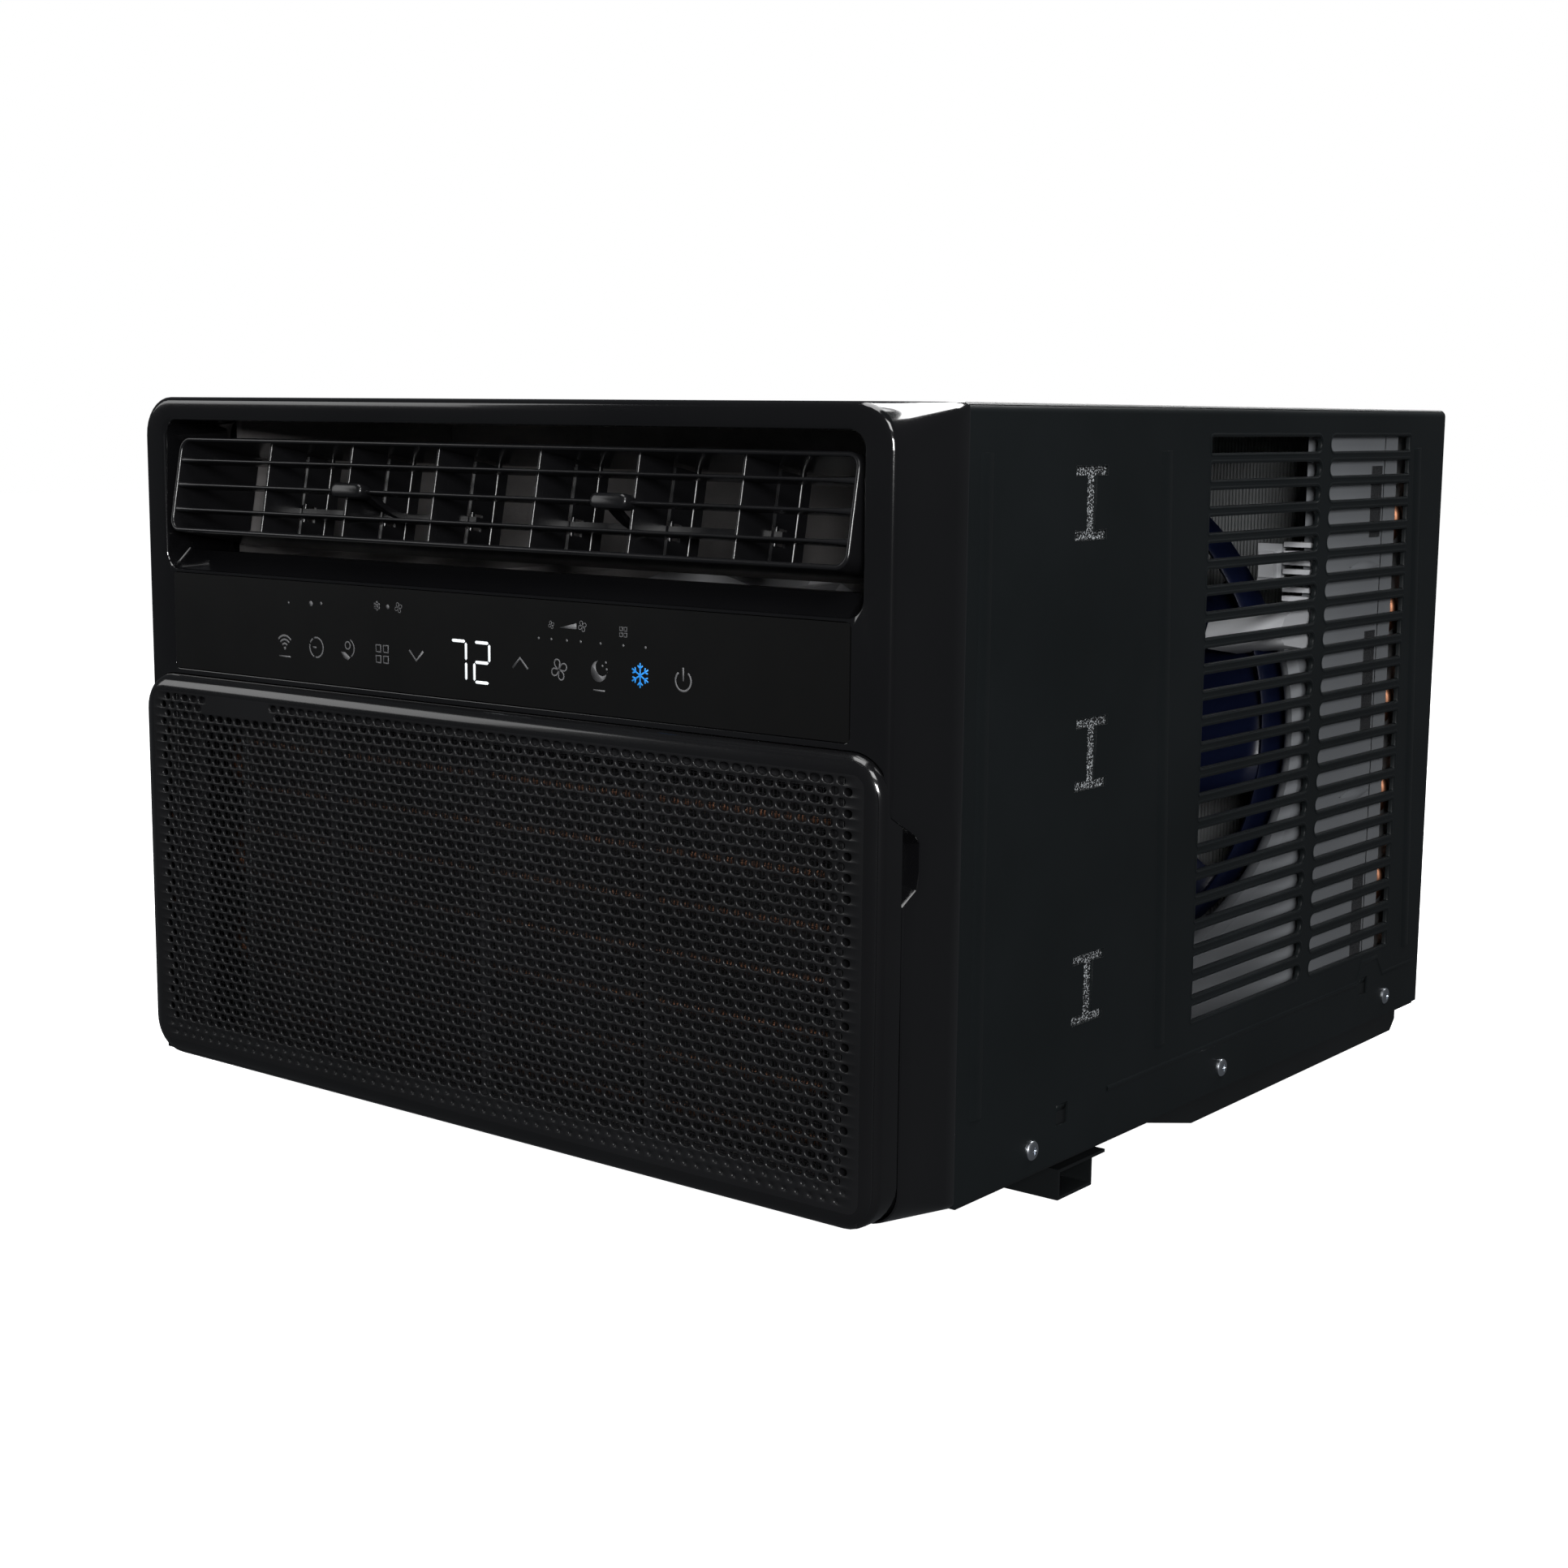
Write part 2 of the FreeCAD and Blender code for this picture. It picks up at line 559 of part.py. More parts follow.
def outlet_recess():
    """The box behind the air outlet that the louvre frame tilts in."""
    return cut("recess_tube",
               block("recess_outer", both("outlet_half + recess_wall"),
                     ("face_y + face_plate - 1", "recess_rear"),
                     ("recess_floor - recess_wall", "outlet_top + recess_wall")),
               block("recess_inner", both("outlet_half"), ("face_y - 5", "recess_rear + 5"),
                     ("recess_floor", "outlet_top")))


def hinge_ears():
    """The ears low on the bezel that carry the grille's hinge pins."""
    parts = []
    for side in (-1, 1):
        parts.append(block("ear_%d" % (side + 1), across(side, "ear_at"),
                           ("hinge_y - ear_front", "hinge_y + ear_rear"),
                           ("hinge_z - 2.2", "hinge_z + 5")))
        parts.append(block("ear_root_%d" % (side + 1), across(side, "ear_at"),
                           ("hinge_y + 5", "hinge_y + ear_rear"), ("face_bottom + 1", "hinge_z")))
    return parts


def finger_notches(whole):
    """Cut the notch into each side and close it behind with a thin cup."""
    notches = []
    cups = []
    for side in (-1, 1):
        word = "%d" % (side + 1)
        deep = "face_half - notch_deep"
        open_x = (deep, "300") if side > 0 else ("-300", "-(%s)" % deep)
        back_x = (deep + " - 2", deep) if side > 0 else ("-(%s)" % deep, "-(%s - 2)" % deep)
        rim_x = (deep + " - 1", "face_half - 1") if side > 0 else ("1 - face_half",
                                                                   "-(%s - 1)" % deep)
        notches.append(block("bezel_notch_" + word, open_x, ("face_y", "notch_rear"),
                             ("notch_low", "notch_high")))
        cups.append(block("notch_back_" + word, back_x, ("skirt_parting", "notch_rear + 2"),
                          ("notch_low - 2", "notch_high + 2")))
        rims = ((("notch_rear", "notch_rear + 2"), ("notch_low - 2", "notch_high + 2")),
                (("skirt_parting", "notch_rear + 1"), ("notch_low - 2", "notch_low")),
                (("skirt_parting", "notch_rear + 1"), ("notch_high", "notch_high + 2")))
        cups += [block("notch_rim_%s_%d" % (word, index), rim_x, y_pair, z_pair)
                 for index, (y_pair, z_pair) in enumerate(rims)]
    return fuse("bezel_with_notches", cut("bezel_cut", whole, *notches), *cups)


def make_bezel():
    outer, shell = bezel_walls()
    shelf = block("housing_shelf", both("face_half - 4"), ("face_y + 1", "face_y + shelf_deep"),
                  ("grille_top + shelf_gap", "grille_top + shelf_gap + bezel_wall"))
    whole = fuse("bezel_solid", shell, bezel_face(outer), outlet_recess(), shelf, lip_wedge(),
                 *hinge_ears())
    reach = "outlet_half + recess_wall + 1"
    pivot = rod("louvre_hole", "x", "-(%s)" % reach, reach, "pivot_pin + pin_gap",
                ("pivot_y", "pivot_z"))
    hinge = common("ear_hole", rod("ear_hole_line", "x", "-face_half", "face_half",
                                   "hinge_pin + shaft_gap", ("hinge_y", "hinge_z")),
                   block("ear_zone", both("ear_at + lug_half + 1"), ("hinge_y - 8", "hinge_y + 8"),
                         ("hinge_z - 8", "hinge_z + 8")))
    keep(cut("bezel", finger_notches(whole), hinge, pivot), "front_bezel")


def make_controls():
    keep(block("glass", both("glass_half"), ("face_y", "face_y + glass_thick"),
               ("glass_low", "glass_high")), "control_panel_glass")
    board = block("board_plate", both("board_half"),
                  ("face_y + board_setback", "face_y + board_setback + board_thick"),
                  ("glass_low + 6", "glass_high - 6"))
    keep(board, "control_board")
    keep(block("display", ("display_left", "display_right"),
               ("face_y + glass_thick + 0.2", "face_y + board_setback"),
               ("glass_low + 13", "glass_low + 37")), "display_module")


def make_grille():
    outer = rounded("grille_outer", block("grille_block", both("face_half"),
                                          ("grille_front", "skirt_rear"),
                                          ("face_bottom", "grille_top")), "grille_corner", "y")
    inner = rounded("grille_inner", block("grille_inner_block", both("face_half - grille_wall"),
                                          ("grille_front + grille_thick", "skirt_rear + 1"),
                                          ("face_bottom + grille_wall", "grille_top - grille_wall")),
                    "grille_inner_corner", "y")
    heel = block("grille_heel", both("300"), ("hinge_y - 1.5", "skirt_rear + 1"),
                 ("face_bottom - 1", "hinge_z"))
    crown = block("grille_crown", both("300"), ("face_y - seat_gap", "skirt_rear + 1"),
                  ("grille_top - grille_wall - 0.1", "grille_top + 1"))
    slits = []
    for row in range(int(value("slit_rows"))):
        low = "slit_first + %d * slit_pitch" % row
        for side, pair in enumerate((("-slit_end", "-slit_middle"), ("slit_middle", "slit_end"))):
            slits.append(block("slit_%d_%d" % (row, side), pair,
                               ("grille_front - 1", "grille_front + grille_thick + 1"),
                               (low, low + " + slit_height")))
    notches = [block("grille_notch_%d" % (side + 1),
                     ("face_half - 5", "300") if side > 0 else ("-300", "5 - face_half"),
                     ("face_y - 2", "skirt_rear + 1"), ("notch_low", "notch_high"))
               for side in (-1, 1)]
    panel = cut("grille_panel", outer, inner, heel, crown, *slits, *notches)
    extras = []
    for side in (-1, 1):
        extras.append(block("lug_%d" % (side + 1), across(side, "lug_at"),
                            ("grille_front + 1", "hinge_y + 2.5"), ("hinge_z - 2.4", "hinge_z + 5")))
        near, far = "ear_at - lug_half", "lug_at - 1"
        low, high = (near, far) if side > 0 else ("-(%s)" % far, "-(%s)" % near)
        extras.append(rod("hinge_pin_%d" % (side + 1), "x", low, high, "hinge_pin",
                          ("hinge_y", "hinge_z")))
        inner_x, outer_x = "filter_half - 2", "filter_half + 3"
        pair = (inner_x, outer_x) if side > 0 else ("-(%s)" % outer_x, "-(%s)" % inner_x)
        rail = block("channel_%d" % (side + 1), pair,
                     ("grille_front + 1", "filter_rear + 2"), ("filter_low - 2", "filter_high + 2"))
        wide = "filter_half + 0.6"
        groove = block("groove_%d" % (side + 1), both(wide),
                       ("filter_front - 0.4", "filter_rear + 0.4"),
                       ("filter_low - 0.4", "grille_top"))
        extras.append(cut("guide_%d" % (side + 1), rail, groove))
    keep(fuse("grille", panel, *extras), "intake_grille")


FILTER_PANES = 4


def make_filter():
    border = block("filter_outer", both("filter_half"), ("filter_front", "filter_rear"),
                   ("filter_low", "filter_high"))
    windows = []
    for index in range(FILTER_PANES):
        start = "filter_border - filter_half + %d * filter_pane" % index
        windows.append(block("filter_window_%d" % index,
                             (start + " + filter_bar / 2", start + " + filter_pane - filter_bar / 2"),
                             ("filter_front - 1", "filter_rear + 1"),
                             ("filter_low + 7", "filter_high - 7")))
    middle = "(filter_front + filter_rear) / 2"
    slit = block("mesh_slit", both("filter_half - 4"),
                 (middle + " - mesh_thick", middle + " + mesh_thick"),
                 ("filter_low + 4", "filter_high - 4"))
    keep(cut("filter", border, slit, *windows), "filter_frame")
    keep(block("mesh", both("filter_half - 4.2"),
               (middle + " - mesh_thick / 2", middle + " + mesh_thick / 2"),
               ("filter_low + 4.2", "filter_high - 4.2")), "filter_mesh")


def tilt(item):
    """Set a piece of the louvre group on its pivot at the rest angle."""
    item.Placement = FreeCAD.Placement(
        FreeCAD.Vector(0, value("pivot_y"), value("pivot_z")),
        FreeCAD.Rotation(FreeCAD.Vector(1, 0, 0), -value("rest_tilt")))
    return item


def vane_spots(side):
    """The three vane positions of one group."""
    return [side * (value("rib_inner") + index * value("rib_pitch")) for index in range(3)]


def make_louvre_frame():
    outer = rounded("ring_outer", block("ring_block", both("ring_half"),
                                        ("ring_front", "ring_rear"), both("ring_high")),
                    "ring_corner", "y")
    inner = rounded("ring_inner", block("ring_void", both("ring_half - 2.2"),
                                        ("ring_front - 1", "ring_rear + 1"),
                                        both("ring_high - ring_wall")), "bezel_corner", "y")
    ring = cut("ring", outer, inner)
    blades = [block("blade_%d" % (row + 1), both("ring_half - 1"),
                    ("ring_front + 1", "ring_front + 1 + blade_deep"),
                    ("%d * blade_pitch - blade_thick / 2" % row,
                     "%d * blade_pitch + blade_thick / 2" % row)) for row in (-1, 0, 1)]
    spots = vane_spots(-1) + vane_spots(1)
    ribs = [block("rib_%d" % index, ("%g - rib_thick / 2" % x, "%g + rib_thick / 2" % x),
                  ("rib_front", "rib_rear"), both("ring_high - 1"))
            for index, x in enumerate(spots)]
    pins = [rod("louvre_pin_left", "x", "-(ring_half + 7.5)", "1 - ring_half", "pivot_pin",
                ("0", "0")),
            rod("louvre_pin_right", "x", "ring_half - 1", "ring_half + 7.5", "pivot_pin",
                ("0", "0"))]
    holes = [rod("vane_hole_%d" % index, "z", "-30", "30", "vane_pin + pin_gap",
                 ("%g" % x, "vane_axis")) for index, x in enumerate(spots)]
    keep(tilt(cut("louvre", fuse("louvre_solid", ring, *blades, *ribs, *pins), *holes)),
         "louvre_frame")


def make_vane(name, x, label):
    blade = block(name + "_blade", ("%g - vane_thick / 2" % x, "%g + vane_thick / 2" % x),
                  ("vane_front", "vane_rear"), both("vane_high"))
    notch = block(name + "_notch", ("%g - 3" % x, "%g + 3" % x),
                  ("vane_front - 1", "link_rear + 1.5"), ("link_low - 2", "link_high + 2"))
    crank = rod(name + "_crank", "z", "link_low - 2.5", "link_high + 2.5", "crank_pin",
                ("%g" % x, "vane_axis - crank_arm"))
    axle = rod(name + "_axle", "z", "-(ring_high - 0.2)", "ring_high - 0.2", "vane_pin",
               ("%g" % x, "vane_axis"))
    keep(tilt(fuse(name, cut(name + "_cut", blade, notch), crank, axle)), label)


def make_vane_group(side, word):
    spots = vane_spots(side)
    for index, x in enumerate(sorted(spots)):
        make_vane("%s_vane_solid_%d" % (word, index + 1), x, "%s_vane_%d" % (word, index + 1))
    bar = block(word + "_bar", ("%g - 6" % min(spots), "%g + 6" % max(spots)),
                ("link_front", "link_rear"), ("link_low", "link_high"))
    slots = [block("%s_slot_%d" % (word, index),
                   ("%g - crank_pin - 0.7" % x, "%g + crank_pin + 0.7" % x),
                   ("vane_axis - crank_arm - crank_pin - 0.5",
                    "vane_axis - crank_arm + crank_pin + 2.4"), ("link_low - 1", "link_high + 1"))
             for index, x in enumerate(spots)]
    keep(tilt(cut(word + "_link_solid", bar, *slots)), word + "_vane_link")
    middle, lever = side * value("tab_middle"), side * value("lever_at")
    pad_block = rounded(word + "_pad", block(
        word + "_pad_block", ("%g - tab_half" % middle, "%g + tab_half" % middle),
        ("tab_front", "tab_rear"), both("tab_high")), "bezel_corner", "y")
    gap = block(word + "_gap", ("%g - tab_half - 1" % middle, "%g + tab_half + 1" % middle),
                ("ring_front + 0.7", "tab_rear + 1"), both("blade_thick / 2 + 0.3"))
    width = ("%g - lever_thick / 2" % lever, "%g + lever_thick / 2" % lever)
    arm = block(word + "_arm", width, ("tab_front + 2", "link_front"), ("link_low", "link_high"))
    riser = block(word + "_riser", width, ("tab_front + 2", "tab_rear"), ("link_low + 1", "-2"))
    keep(tilt(fuse(word + "_tab_solid", cut(word + "_pad_cut", pad_block, gap), arm, riser)),
         word + "_vane_tab")


def make_coil(name, half, front, rear, low, high, rows, reach):
    """A finned block with two serpentine tubes and a flanged end plate at each side."""
    pitch = "((%s) - (%s)) / %s" % (high, low, rows)
    columns = ["(%s) * 0.75 + (%s) * 0.25" % (front, rear),
               "(%s) * 0.25 + (%s) * 0.75" % (front, rear)]
    heights = ["(%s) + %s * %g" % (low, pitch, row + 0.5) for row in range(int(value(rows)))]
    ends = "%s + end_plate + 2" % half
    serpentines = []
    holes = []
    for column, y in enumerate(columns):
        runs = [rod("%s_run_%d_%d" % (name, column, row), "x", "-(%s)" % ends, ends, "tube_r", (y, z))
                for row, z in enumerate(heights)]
        bends = []
        for row in range(len(heights) - 1):
            right = row % 2 == 0
            bend = DOC.addObject("Part::Torus", "%s_bend_%d_%d" % (name, column, row))
            bind(bend, "Radius1", "%s / 2" % pitch)
            bind(bend, "Radius2", "tube_r")
            bend.Angle3 = 180
            bend.Placement = FreeCAD.Placement(FreeCAD.Vector(), FreeCAD.Rotation(
                FreeCAD.Vector(1, 0, 0), 90).multiply(FreeCAD.Rotation(
                    FreeCAD.Vector(0, 0, 1), -90 if right else 90)))
            place(bend, ends if right else "-(%s)" % ends, y, "%s + %s / 2" % (heights[row], pitch))
            bends.append(bend)
        serpentines.append(fuse("%s_serpentine_%d" % (name, column), *runs, *bends))
        holes += [rod("%s_hole_%d_%d" % (name, column, row), "x", "-(%s + 10)" % half, half + " + 10",
                      "tube_r + tube_gap", (y, z)) for row, z in enumerate(heights)]
    bores = fuse(name + "_bores", *holes)
    keep(cut(name + "_block", block(name + "_fin_block", both(half), (front, rear), (low, high)),
             bores), name + "_fins")
    plates = []
    for side, pair, wing in (
            ("left", ("-(%s + end_plate)" % half, "-(%s)" % half), ("-(%s)" % reach, "-(%s)" % half)),
            ("right", (half, half + " + end_plate"), (half, reach))):
        sheet = block("%s_%s_sheet" % (name, side), pair, (front, rear), (low, high))
        flange = block("%s_%s_flange" % (name, side), wing, (rear + " - end_plate", rear),
                       (low + " + 3", high))
        plates.append(cut("%s_%s_plate" % (name, side),
                          fuse("%s_%s_angle" % (name, side), sheet, flange), bores))
    keep(compound(name + "_plates", *plates), name + "_end_plates")
    keep(compound(name + "_tubing", *serpentines), name + "_tubes")


def make_air_path():
    keep(block("tray", both("ear_at - lug_half - 1"), ("evap_front - 8", "evap_rear + 4"),
               ("face_bottom + bezel_wall + 0.5", "evap_low - 0.4")), "drip_tray")
    keep(block("seal", both("evap_half"), ("evap_front + 1", "evap_rear - 1"),
               ("evap_high + 0.2", "duct_low - 0.2")), "foam_seal")
    keep(block("sensor", ("60", "90"), ("evap_front - 6", "evap_front - 0.2"), ("197", "203")),
         "temperature_sensor")
    line = ("fan_x", "fan_z")
    plate = block("inlet_plate", both("221"), ("evap_rear + 2", "evap_rear + 4"),
                  ("evap_low", "duct_low - 1"))
    keep(cut("inlet", plate, rod("inlet_hole", "y", "evap_rear - 5", "evap_rear + 10", "inlet_r",
                                 line)), "inlet_ring_plate")
    make_scroll_and_duct(line)


def make_scroll_and_duct(line):
    round_out = rod("scroll_drum", "y", "scroll_front", "scroll_rear", "scroll_r + scroll_wall",
                    line)
    throat = block("scroll_throat",
                   ("fan_x - scroll_r - scroll_wall", "fan_x + scroll_r + scroll_wall"),
                   ("scroll_front", "scroll_rear"), ("fan_z", "duct_low"))
    round_in = rod("scroll_space", "y", "scroll_front + scroll_wall", "scroll_rear - scroll_wall",
                   "scroll_r", line)
    throat_in = block("throat_space", ("fan_x - scroll_r", "fan_x + scroll_r"),
                      ("scroll_front + scroll_wall", "scroll_rear - scroll_wall"),
                      ("fan_z", "duct_high"))
    mouth = rod("scroll_mouth", "y", "scroll_front - 1", "scroll_front + 10", "inlet_r", line)
    neck = rod("scroll_neck", "y", "scroll_rear - 10", "scroll_rear + 1", "22", line)
    above = block("scroll_above", both("300"), ("scroll_front - 5", "scroll_rear + 5"),
                  ("duct_low - 0.2", "duct_high"))
    keep(cut("scroll", fuse("scroll_solid", round_out, throat), round_in, throat_in, mouth, neck,
             above), "blower_scroll")
    duct = block("duct_outer", both("duct_half"), ("duct_front", "scroll_rear"),
                 ("duct_low", "duct_high"))
    duct_in = block("duct_inner", both("duct_half - scroll_wall"),
                    ("duct_front - 1", "scroll_rear - scroll_wall"),
                    ("duct_low + scroll_wall", "duct_high - scroll_wall"))
    keep(cut("duct", duct, duct_in, throat_in), "outlet_duct")


# where a pipe passes a wall: radius of the hole and its (x, z)
BULKHEAD_HOLES = (("20", ("fan_x", "fan_z")), ("8", ("-227", "275")), ("7", ("-227", "60")))
SHROUD_HOLES = (("7", ("-215", "325")), ("6", ("-227", "60")))


def make_bulkhead():
    sheet = block("bulkhead_sheet", both("shroud_half"), ("bulkhead_y", "bulkhead_y + 1.2"),
                  ("pan_low + pan_steel + 0.2", "cab_top - 1.5"))
    openings = [rod("bulkhead_hole_%d" % index, "y", "bulkhead_y - 5", "bulkhead_y + 5", radius, spot)
                for index, (radius, spot) in enumerate(BULKHEAD_HOLES)]
    keep(cut("bulkhead", sheet, *openings), "bulkhead_panel")


def make_fan_line():
    line = ("fan_x", "fan_z")
    case = fuse("motor_case",
                rod("motor_can", "y", "motor_front + 8", "motor_rear - 8", "motor_r", line),
                rod("motor_front_bell", "y", "motor_front", "motor_front + 9", "motor_r - 10", line),
                rod("motor_rear_bell", "y", "motor_rear - 9", "motor_rear", "motor_r - 10", line))
    keep(cut("motor", case, rod("motor_bore", "y", "motor_front - 5", "motor_rear + 5",
                                "shaft_r + shaft_gap", line)), "fan_motor")
    bracket = block("bracket_sheet", ("fan_x - 75", "fan_x + 75"),
                    ("motor_front - 2.6", "motor_front - 0.1"), ("fan_z - 80", "fan_z + 80"))
    keep(cut("bracket", bracket, rod("bracket_hole", "y", "-80", "-40", "25", line)), "motor_bracket")
    keep(rod("shaft", "y", "shaft_front", "shaft_rear", "shaft_r", line), "motor_shaft")
    nuts = [cut("nut_" + word, rod("nut_ring_" + word, "y", low, high, "10", line),
                rod("nut_bore_" + word, "y", "-250", "250", "shaft_r + shaft_gap", line))
            for word, low, high in (("front", "wheel_front - 8", "wheel_front - 0.2"),
                                    ("rear", "fan_rear + 0.2", "fan_rear + 9"))]
    keep(compound("nuts", *nuts), "wheel_nuts")


def make_blower_wheel():
    """A ring of blades on a back disc with a hub, closed by a front rim."""
    body = new_body("wheel_body")
    sketch = new_sketch(body, "wheel_disc_circle", "XZ_Plane")
    sketch_circle(sketch, "wheel_r")
    sketch_circle(sketch, "shaft_r + shaft_gap")
    pad(body, "wheel_disc", sketch, "2.5")
    hub = new_sketch(body, "wheel_hub_circle", "XZ_Plane")
    sketch_circle(hub, "14")
    sketch_circle(hub, "shaft_r + shaft_gap")
    pad(body, "wheel_hub", hub, "wheel_rear - wheel_front")
    blade = new_sketch(body, "wheel_blade_outline", "XZ_Plane")
    outer, inner = value("wheel_r") - 0.5, value("wheel_r") - 13
    sketch_polygon(blade, [(-2, inner), (0, inner), (5, outer), (3, outer)])
    blade_pad = pad(body, "wheel_blade", blade, "wheel_rear - wheel_front - 1")
    DOC.recompute()
    ring = body.newObject("PartDesign::PolarPattern", "wheel_blades")
    ring.Originals = [blade_pad]
    ring.Axis = (origin_feature(body, "Y_Axis"), [""])
    ring.Angle = 360
    bind(ring, "Occurrences", "wheel_blades")
    body.Tip = ring
    DOC.recompute()
    line = ("fan_x", "fan_z")
    rim = cut("wheel_rim", rod("rim_outer", "y", "wheel_front", "wheel_front + 3", "wheel_r", line),
              rod("rim_inner", "y", "wheel_front - 1", "wheel_front + 4", "wheel_r - 12", line))
    place(body, "fan_x", "wheel_rear", "fan_z")
    keep(fuse("wheel", body, rim), "blower_wheel")


FAN_BLADE_WIDE, FAN_BLADE_THICK = 76, 3


def make_condenser_fan():
    line = ("fan_x", "fan_z")
    hub = rod("fan_hub_drum", "y", "fan_front", "fan_rear", "fan_hub", line)
    ring = cut("slinger", rod("slinger_outer", "y", "fan_front + 12", "fan_rear - 6",
                              "fan_r + slinger_thick", line),
               rod("slinger_inner", "y", "fan_front", "fan_rear", "fan_r", line))
    blades = []
    count = int(value("fan_blades"))
    for index in range(count):
        plank = DOC.addObject("Part::Box", "fan_plank_%d" % index)
        bind(plank, "Length", "fan_r + 1 - fan_hub / 2")
        plank.Width = FAN_BLADE_WIDE
        plank.Height = FAN_BLADE_THICK
        lean = FreeCAD.Placement(FreeCAD.Vector(value("fan_hub") / 2, 0, 0),
                                 FreeCAD.Rotation(FreeCAD.Vector(1, 0, 0), 90 - value("fan_pitch")))
        centre = FreeCAD.Placement(
            FreeCAD.Vector(0, -FAN_BLADE_WIDE / 2, -FAN_BLADE_THICK / 2), FreeCAD.Rotation())
        spin = FreeCAD.Placement(
            FreeCAD.Vector(value("fan_x"), (value("fan_front") + value("fan_rear")) / 2,
                           value("fan_z")),
            FreeCAD.Rotation(FreeCAD.Vector(0, 1, 0), 360.0 * index / count))
        plank.Placement = spin.multiply(lean).multiply(centre)
        blades.append(plank)
    zone = rod("fan_zone", "y", "fan_front", "fan_rear", "fan_r + 1", line)
    vanes = common("fan_blade_set", fuse("fan_planks", *blades), zone)
    keep(cut("fan", fuse("fan_solid", hub, ring, vanes),
             rod("fan_bore", "y", "0", "250", "shaft_r + shaft_gap", line)), "condenser_fan")


def make_shroud():
    outer = block("shroud_outer", both("shroud_half"), ("shroud_front", "shroud_rear"),
                  ("pan_low + pan_steel + 0.4", "cab_top - 1.6"))
    inner = block("shroud_inner", both("shroud_half - shroud_wall"),
                  ("shroud_front + shroud_wall", "shroud_rear + 1"),
                  ("pan_low + pan_steel + 0.4 + shroud_wall", "cab_top - 1.6 - shroud_wall"))
    wings = [block("shroud_wing_%d" % (side + 1),
                   ("%d * (shroud_half - shroud_wall / 2) - shroud_wall / 2" % side,
                    "%d * (shroud_half - shroud_wall / 2) + shroud_wall / 2" % side),
                   ("shroud_rear - 1", "wing_rear"), ("wing_low", "wing_high")) for side in (-1, 1)]
    collar = rod("collar", "y", "shroud_front", "shroud_front + collar_deep", "orifice_r + 2.5",
                 ("fan_x", "fan_z"))
    hole = rod("orifice", "y", "shroud_front - 5", "shroud_front + collar_deep + 5", "orifice_r",
               ("fan_x", "fan_z"))
    lines = [rod("shroud_hole_%d" % index, "y", "shroud_front - 5", "shroud_front + 10", radius, spot)
             for index, (radius, spot) in enumerate(SHROUD_HOLES)]
    solid = fuse("shroud_solid", cut("shroud_box", outer, inner), collar, *wings)
    keep(cut("shroud", solid, hole, *lines), "fan_shroud")


def capsule(name, shrink):
    """A vertical drum with domed ends, smaller by a wall thickness when it is the inside."""
    spot = ("comp_x", "comp_y")
    drum = rod(name + "_drum", "z", "comp_low", "comp_high", "comp_r - " + shrink, spot)
    domes = []
    for word, z in (("low", "comp_low"), ("high", "comp_high")):
        dome = DOC.addObject("Part::Ellipsoid", "%s_dome_%s" % (name, word))
        bind(dome, "Radius1", "comp_dome - " + shrink)
        bind(dome, "Radius2", "comp_r - " + shrink)
        bind(dome, "Radius3", "comp_r - " + shrink)
        place(dome, "comp_x", "comp_y", z)
        domes.append(dome)
    return fuse(name, drum, *domes)


def make_compressor():
    outside = capsule("comp_outside", "0")
    inside = capsule("comp_inside", "comp_wall")
    foot = rod("comp_foot", "z", "foot_z", "foot_z + 3", "foot_r", ("comp_x", "comp_y"))
    angles = (90, 210, 330)
    bolts = []
    grommets = []
    holes = []
    for index, angle in enumerate(angles):
        x = "comp_x + foot_bolts * %g" % math.cos(math.radians(angle))
        y = "comp_y + foot_bolts * %g" % math.sin(math.radians(angle))
        floor = "pan_low + pan_steel"
        holes.append(rod("foot_hole_%d" % index, "z", "foot_z - 2", "foot_z + 5", "foot_bolt + 0.6",
                         (x, y)))
        cushion = rod("cushion_%d" % index, "z", floor, "foot_z - 0.1", "cushion_r", (x, y))
        grommets.append(cut("grommet_%d" % index, cushion,
                            rod("grommet_bore_%d" % index, "z", "0", "50", "foot_bolt + 0.3",
                                (x, y))))
        shank = rod("bolt_shank_%d" % index, "z", floor, "foot_z + 8", "foot_bolt", (x, y))
        head = rod("bolt_head_%d" % index, "z", "foot_z + 3.1", "foot_z + 9", "bolt_head", (x, y))
        bolts.append(fuse("bolt_%d" % index, shank, head))
    keep(cut("comp", fuse("comp_solid", outside, foot), inside, *holes), "compressor_shell")
    keep(compound("grommets", *grommets), "compressor_grommets")
    keep(compound("bolts", *bolts), "compressor_bolts")
    cap = block("cover_block", ("comp_x - cover_x", "comp_x + cover_x"),
                ("comp_y - cover_y", "comp_y + cover_y"), ("comp_high + 8", "comp_high + 48"))
    keep(cut("cover", cap, outside), "compressor_terminal_cover")
    beside = ("accum_x", "accum_y")
    can = fuse("accumulator_can", rod("can_body", "z", "accum_low", "accum_high", "accum_r", beside),
               rod("can_neck", "z", "accum_high - 1", "accum_high + 12", "9", beside))
    keep(can, "compressor_accumulator")


